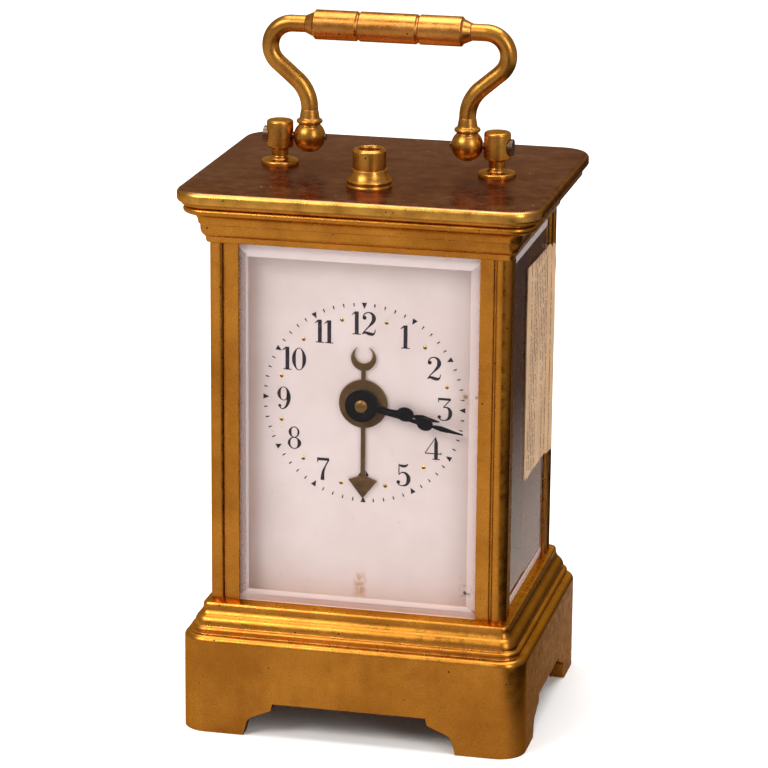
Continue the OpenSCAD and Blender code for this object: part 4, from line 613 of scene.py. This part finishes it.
# Each numeral in a box one unit high: pen strokes of (x, y, width), serifs and ball ends.
GLYPHS = {
    "0": (0.62, lambda: ring(0.31, 0.49, 0.225, 0.475, 0.035, 0.165, 0.165)),
    "1": (0.36, lambda: [
        stroke([(0.21, 0.0, 0.165), (0.21, 0.99, 0.165)], False),
        [(0.135, 0.99), (0.0, 0.86), (0.0, 0.82), (0.135, 0.90)],
        stroke([(0.03, 0.02, 0.04), (0.39, 0.02, 0.04)], False),
    ]),
    "2": (0.66, lambda: [
        stroke([
            (0.11, 0.72, 0.06), (0.09, 0.82, 0.05), (0.17, 0.93, 0.05), (0.32, 0.975, 0.05),
            (0.47, 0.91, 0.11), (0.535, 0.75, 0.17), (0.49, 0.58, 0.14), (0.33, 0.38, 0.07),
            (0.14, 0.17, 0.04), (0.05, 0.03, 0.04),
        ]),
        ball(0.135, 0.74, 0.085),
        stroke([
            (0.05, 0.05, 0.05), (0.16, 0.11, 0.10), (0.33, 0.07, 0.14), (0.48, 0.05, 0.12),
            (0.57, 0.12, 0.05), (0.60, 0.26, 0.03),
        ]),
    ]),
    "3": (0.68, lambda: [
        stroke([(0.07, 0.93, 0.10), (0.60, 0.93, 0.10)], False),
        stroke([(0.075, 0.78, 0.035), (0.075, 0.98, 0.035)], False),
        stroke([(0.595, 0.94, 0.05), (0.28, 0.57, 0.04)], False),
        stroke([
            (0.28, 0.57, 0.04), (0.42, 0.585, 0.06), (0.54, 0.50, 0.12), (0.585, 0.33, 0.17),
            (0.53, 0.13, 0.12), (0.38, 0.025, 0.05), (0.20, 0.03, 0.04), (0.09, 0.12, 0.05),
        ]),
        ball(0.115, 0.155, 0.075),
    ]),
    "4": (0.74, lambda: [
        stroke([(0.49, 0.0, 0.155), (0.49, 0.74, 0.155), (0.47, 0.99, 0.02)], False),
        stroke([(0.475, 0.98, 0.035), (0.03, 0.28, 0.035)], False),
        stroke([(0.02, 0.265, 0.045), (0.72, 0.265, 0.045)], False),
        stroke([(0.33, 0.02, 0.04), (0.66, 0.02, 0.04)], False),
        stroke([(0.71, 0.22, 0.03), (0.71, 0.34, 0.03)], False),
    ]),
    "5": (0.64, lambda: [
        stroke([(0.13, 0.97, 0.04), (0.13, 0.50, 0.04)], False),
        stroke([(0.12, 0.93, 0.05), (0.27, 0.885, 0.12), (0.42, 0.90, 0.10), (0.52, 0.99, 0.03)]),
        stroke([
            (0.13, 0.50, 0.035), (0.26, 0.60, 0.045), (0.42, 0.57, 0.10), (0.53, 0.42, 0.165),
            (0.535, 0.25, 0.165), (0.45, 0.08, 0.10), (0.28, 0.02, 0.045), (0.13, 0.06, 0.04),
            (0.08, 0.14, 0.05),
        ]),
        ball(0.105, 0.17, 0.080),
    ]),
    "6": (0.64, six),
    "7": (0.56, lambda: [
        stroke([(0.03, 0.915, 0.12), (0.53, 0.915, 0.12)], False),
        stroke([(0.03, 0.76, 0.035), (0.03, 0.99, 0.035)], False),
        stroke([(0.52, 0.90, 0.06), (0.37, 0.62, 0.06), (0.27, 0.34, 0.12), (0.245, 0.0, 0.175)]),
    ]),
    "8": (0.64, lambda: [
        *ring(0.32, 0.745, 0.185, 0.225, 0.040, 0.125, 0.085),
        *ring(0.32, 0.27, 0.225, 0.245, 0.040, 0.115, 0.165),
    ]),
    "9": (0.64, lambda: turned(six(), 0.32, 0.49)),
}


def numeral(number, cx, cz, height):
    """Outlines of an upright numeral centred at (cx, cz)."""
    gap = 0.045
    digits = str(number)
    total = sum(GLYPHS[d][0] for d in digits) + gap * (len(digits) - 1)
    pen, outlines = -total / 2, []
    for d in digits:
        width, draw = GLYPHS[d]
        for outline in draw():
            outlines.append([(cx + (pen + x) * height, cz + (y - 0.5) * height) for x, y in outline])
        pen += width + gap
    return outlines


def outline_mesh(name, outlines, y_face):
    """Raised print: each long outline cut into four-cornered pieces so that curved strokes keep their
    shape.
    """
    bm = bmesh.new()
    for outline in outlines:
        n = len(outline)
        if n > 16 and n % 2 == 0:
            half = n // 2
            left, right = outline[:half], outline[half:][::-1]
            quads = [[left[i], left[i + 1], right[i + 1], right[i]] for i in range(half - 1)]
        else:
            quads = [outline]
        for quad in quads:
            verts, faces = slab([quad], y_face, INK_DEPTH)
            made = [bm.verts.new(v) for v in verts]
            for face in faces:
                bm.faces.new([made[i] for i in face])
    bmesh.ops.recalc_face_normals(bm, faces=bm.faces)
    mesh = bpy.data.meshes.new(name)
    bm.to_mesh(mesh)
    bm.free()
    return mesh


NUMERAL_HEIGHT = 5.4 * MM
NUMERAL_RADIUS = 18.65 * MM
TICK_OUTER = 23.3 * MM
TICK_LENGTH = 0.85 * MM
MARK_SIDE = 1.25 * MM
DOT_RADIUS = 19.8 * MM


def dial_point(radius, turn):
    """The place on the dial at a radius and a clockwise part of a turn from the top."""
    a = 2 * math.pi * turn
    return dial_at.x + radius * math.sin(a), dial_at.z + radius * math.cos(a)


def wedge(turn, r_out, r_in, w_out, w_in):
    """A four-cornered mark pointing at the dial's centre."""
    corners = []
    a = 2 * math.pi * turn
    for r, w in ((r_out, -w_out), (r_out, w_out), (r_in, w_in), (r_in, -w_in)):
        x, z = dial_point(r, turn)
        corners.append((x + w / 2 * math.cos(a), z - w / 2 * math.sin(a)))
    return corners


def print_dial():
    face = dial_low.y - INK_BACK
    ink = printed_ink()
    ticks = []
    for minute in range(60):
        turn = minute / 60
        if minute % 5:
            ticks.append(wedge(turn, TICK_OUTER, TICK_OUTER - TICK_LENGTH, 0.34 * MM, 0.16 * MM))
        else:
            ticks.append(wedge(turn, TICK_OUTER + 0.1 * MM, TICK_OUTER - MARK_SIDE, MARK_SIDE, 0.05 * MM))
    add_piece("dial_minute_track", outline_mesh("track", ticks, face), ink, "case")
    for hour in range(1, 13):
        x, z = dial_point(NUMERAL_RADIUS, hour / 12)
        mesh = outline_mesh(f"numeral_{hour}", numeral(hour, x, z, NUMERAL_HEIGHT), face)
        add_piece(f"dial_numeral_{hour:02d}", mesh, ink, "case")


def gilt_dots():
    """Twelve small gilt domes at the half hours."""
    radius, rise = 0.46 * MM, 0.20 * MM
    bm = bmesh.new()
    for half_hour in range(12):
        x, z = dial_point(DOT_RADIUS, (half_hour + 0.5) / 12)
        rings, around = 5, 18
        rows = []
        for i in range(rings):
            lean = math.pi / 2 * i / rings
            row = []
            for k in range(around):
                a = 2 * math.pi * k / around
                r = radius * math.cos(lean)
                y = dial_low.y + INK_BACK - (rise + INK_BACK) * math.sin(lean)
                row.append(bm.verts.new((x + r * math.cos(a), y, z + r * math.sin(a))))
            rows.append(row)
        tip = bm.verts.new((x, dial_low.y - rise, z))
        for lower, upper in zip(rows, rows[1:]):
            for k in range(around):
                m = (k + 1) % around
                bm.faces.new((lower[k], lower[m], upper[m], upper[k]))
        for k in range(around):
            bm.faces.new((rows[-1][k], rows[-1][(k + 1) % around], tip))
        bm.faces.new(rows[0][::-1])
    bmesh.ops.recalc_face_normals(bm, faces=bm.faces)
    for face in bm.faces:
        face.smooth = len(face.verts) < 5
    mesh = bpy.data.meshes.new("dots")
    bm.to_mesh(mesh)
    bm.free()
    finish = Finish("dot_gilt", metallic=1.0, roughness=0.25)
    tone = finish.ramp(finish.noise(0.6), 0.35, 0.65)
    finish.set(Base_Color=finish.mix(tone, (0.86, 0.60, 0.16), (0.60, 0.36, 0.08)))
    add_piece("dial_gilt_dots", mesh, finish.material, "case")


def push_spring():
    """The spring under the push-piece, as a welded copy of the CAD spring, which is hidden."""
    welded = bmesh.new()
    welded.from_mesh(NODES["button_spring"].data)
    bmesh.ops.remove_doubles(welded, verts=welded.verts, dist=WELD)
    mesh = bpy.data.meshes.new("push_spring")
    welded.to_mesh(mesh)
    welded.free()
    spring = add_piece("push_spring", mesh, steel, "case")
    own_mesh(spring)
    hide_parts("button_spring")


print_dial()
gilt_dots()
push_spring()

# ---------- floor, light and camera ----------


FLOOR_HALF = 4.0
WORLD_STRENGTH = 0.46


def add_floor():
    half = FLOOR_HALF
    corners = [(-half, -half, 0), (half, -half, 0), (half, half, 0), (-half, half, 0)]
    mesh = mesh_of("floor", corners, [(0, 1, 2, 3)])
    floor = bpy.data.objects.new("floor", mesh)
    bpy.context.scene.collection.objects.link(floor)
    mesh.materials.append(white_floor())


def add_softbox(name, place, target, size, watts, colour=(1.0, 1.0, 1.0)):
    light = bpy.data.lights.new(name, "AREA")
    light.shape = "RECTANGLE"
    light.size, light.size_y = size
    light.energy = watts
    light.color = colour
    obj = bpy.data.objects.new(name, light)
    bpy.context.scene.collection.objects.link(obj)
    obj.location = place
    obj.rotation_mode = "QUATERNION"
    obj.rotation_quaternion = (Vector(target) - Vector(place)).to_track_quat("-Z", "Y")


def light_scene():
    world = bpy.data.worlds.new("studio")
    bpy.context.scene.world = world
    world.use_nodes = True
    back = world.node_tree.nodes["Background"]
    back.inputs["Color"].default_value = (1.0, 0.97, 0.95, 1.0)
    back.inputs["Strength"].default_value = WORLD_STRENGTH
    middle = (0, 0, 0.08)
    add_softbox("key_box", (-0.75, -0.95, 1.05), middle, (0.7, 0.6), 15.5, (1.0, 0.97, 0.94))
    add_softbox("fill_box", (0.95, -0.85, 0.70), middle, (0.3, 0.8), 6.5, (1.0, 0.97, 0.95))
    add_softbox("top_box", (0.0, 0.15, 1.6), middle, (1.6, 1.2), 34.0)


CAMERA_ANGLES = (13.04, 15.99, 0.51)
CAMERA_LENS = 163.8


def add_camera():
    """The camera stands about 0.8 m off, a little to the right of the dial and above it."""
    azimuth, elevation, roll = (math.radians(a) for a in CAMERA_ANGLES)
    away, target = 0.8084, Vector((-0.00043, 0.0, 0.07592))
    back = Vector((
        math.sin(azimuth) * math.cos(elevation),
        -math.cos(azimuth) * math.cos(elevation),
        math.sin(elevation),
    ))
    right = (-back).cross(Vector((0, 0, 1))).normalized()
    up = right.cross(-back)
    turned_right = right * math.cos(roll) + up * math.sin(roll)
    turned_up = up * math.cos(roll) - right * math.sin(roll)
    data = bpy.data.cameras.new("camera")
    data.sensor_width = 36.0
    data.lens = CAMERA_LENS
    data.clip_start, data.clip_end = 0.05, 20.0
    camera = bpy.data.objects.new("camera", data)
    bpy.context.scene.collection.objects.link(camera)
    turn = Matrix((turned_right, turned_up, back)).transposed().to_4x4()
    camera.matrix_world = Matrix.Translation(target + back * away) @ turn
    bpy.context.scene.camera = camera


add_floor()
light_scene()
add_camera()
bpy.context.scene.view_settings.view_transform = "Standard"
